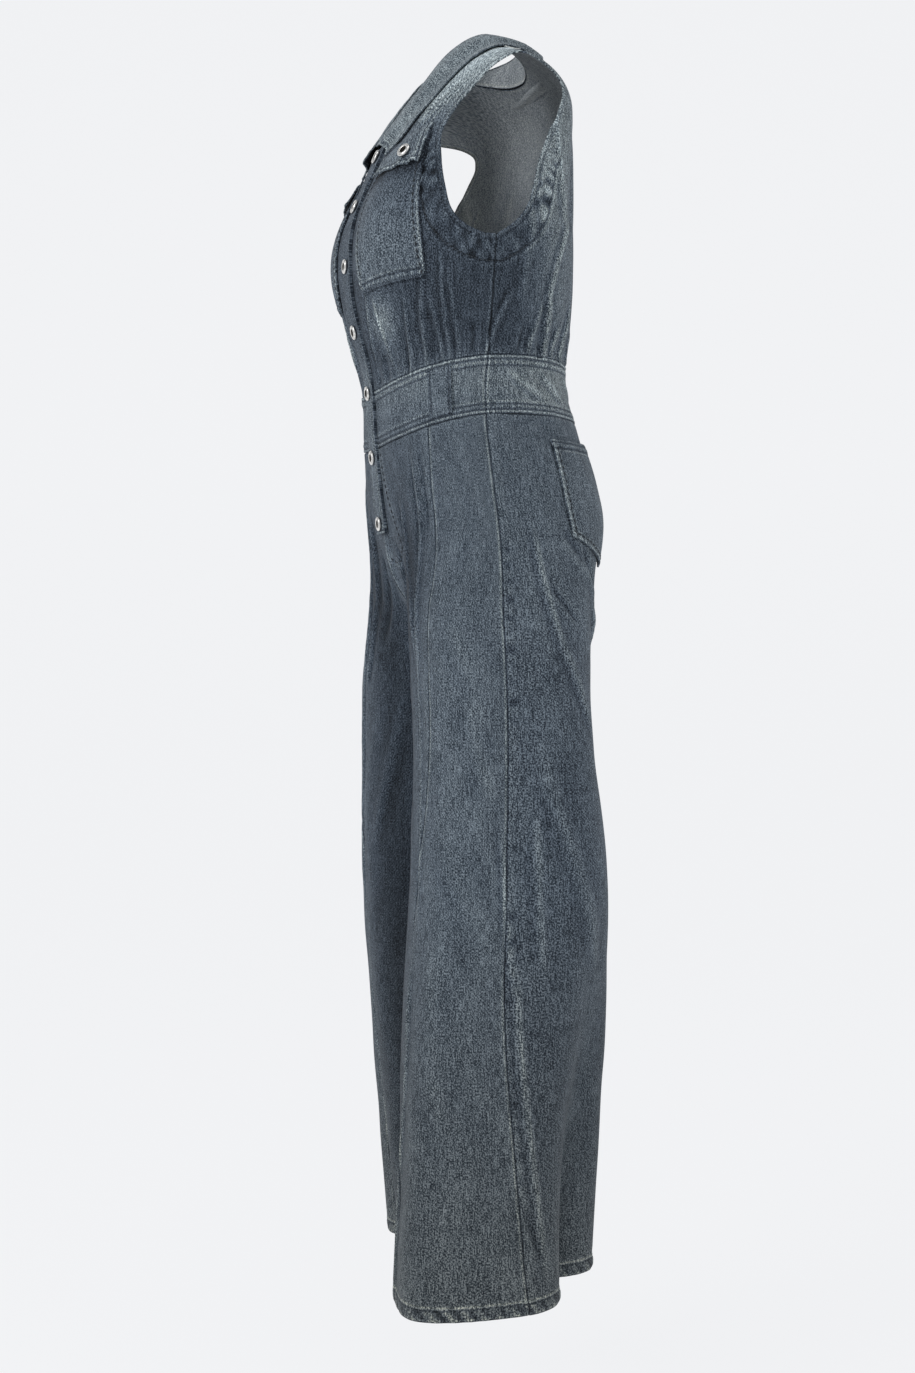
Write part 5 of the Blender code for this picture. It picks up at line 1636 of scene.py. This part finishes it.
def stage():
    """A pale floor that sweeps up into the backdrop."""
    azimuth = math.radians(CAMERA_AZIMUTH)
    toward = np.array((math.sin(azimuth), -math.cos(azimuth), 0.0))
    right = np.array((math.cos(azimuth), math.sin(azimuth), 0.0))
    profile = [(FLOOR_AHEAD, 0.0), (1.0, 0.0), (-FLOOR_BEHIND, 0.0)]
    for turn in np.linspace(0.1, math.pi / 2, 16):
        rise = SWEEP_RADIUS - SWEEP_RADIUS * math.cos(turn)
        profile.append((-FLOOR_BEHIND - SWEEP_RADIUS * math.sin(turn), rise))
    profile.append((-FLOOR_BEHIND - SWEEP_RADIUS, STAGE_REACH))
    points = []
    for side in (-STAGE_REACH, STAGE_REACH):
        points += [toward * run + right * side + np.array((0, 0, FLOOR_Z + rise)) for run, rise in profile]
    count = len(profile)
    faces = [(i, i + 1, count + i + 1, count + i) for i in range(count - 1)]
    material, tree, shader = node_tree("paper")
    place = add_node(tree, "TexCoord").outputs["Object"]
    colour = colour_ramp(tree, noise(tree, place, 3.0, 3.0),
                         (0.0, (0.098, 0.099, 0.101)), (1.0, (0.102, 0.103, 0.105)))
    tree.links.new(colour, shader.inputs["Base Color"])
    set_inputs(shader, Roughness=0.95, Specular_IOR_Level=0.0,
               Emission_Color=(0.888, 0.895, 0.912, 1.0), Emission_Strength=0.92)
    mesh_object("paper_sweep", points, faces, (material,))


def round_the_body(azimuth, distance, z):
    """A place at an azimuth from the front and a distance from the body's axis."""
    turn = math.radians(azimuth)
    return (distance * math.sin(turn), -distance * math.cos(turn), z)


def area_light(name, azimuth, height, distance, size, power):
    """A soft box at an azimuth round the body, aimed at its middle."""
    data = bpy.data.lights.new(name, "AREA")
    data.shape, data.size, data.energy = "SQUARE", size, power
    light = bpy.data.objects.new(name, data)
    light.location = round_the_body(azimuth, distance, height)
    target = Vector((0.0, 0.0, BODY_AXIS_Z))
    light.rotation_euler = (target - light.location).to_track_quat("-Z", "Y").to_euler()
    bpy.context.collection.objects.link(light)


def lights():
    world = bpy.data.worlds.new("studio")
    bpy.context.scene.world = world
    world.use_nodes = True
    set_inputs(world.node_tree.nodes["Background"], Color=(0.93, 0.96, 1.0, 1.0), Strength=0.30)
    for row in LIGHTS[1:]:
        area_light(*row)


def camera():
    data = bpy.data.cameras.new("camera")
    data.sensor_fit, data.sensor_width, data.sensor_height = "AUTO", SENSOR, SENSOR
    data.lens = SENSOR * FOCAL_PIXELS / PHOTO_HEIGHT
    data.shift_x = -(AIM_COLUMN - PHOTO_WIDTH / 2) / PHOTO_HEIGHT
    data.shift_y = (AIM_ROW - PHOTO_HEIGHT / 2) / PHOTO_HEIGHT
    piece = bpy.data.objects.new("camera", data)
    piece.location = round_the_body(CAMERA_AZIMUTH, CAMERA_DISTANCE, BODY_AXIS_Z)
    piece.rotation_euler = (math.pi / 2, 0.0, math.radians(CAMERA_AZIMUTH))
    bpy.context.collection.objects.link(piece)
    bpy.context.scene.camera = piece


def main():
    bpy.context.scene.view_settings.view_transform = "Standard"
    for side in ("left", "right"):
        bodice_front(side)
    bodice_back()
    collar()
    waistband("waistband_front_left", 0, 90)
    waistband("waistband_front_right", -90, 0)
    waistband("waistband_back", 90, 270)
    legs()
    placket()
    placket_under()
    for side in ("left", "right"):
        waist_tab(side)
        hem(side)
        chest_pocket(side)
        chest_flap(side)
        back_pocket(side)
    buttons()
    for group in sewing:
        piece = joined_sewing(group, THREADS.get(group, THREAD_DARK))
        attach(piece, "root")
    stage()
    lights()
    camera()


main()
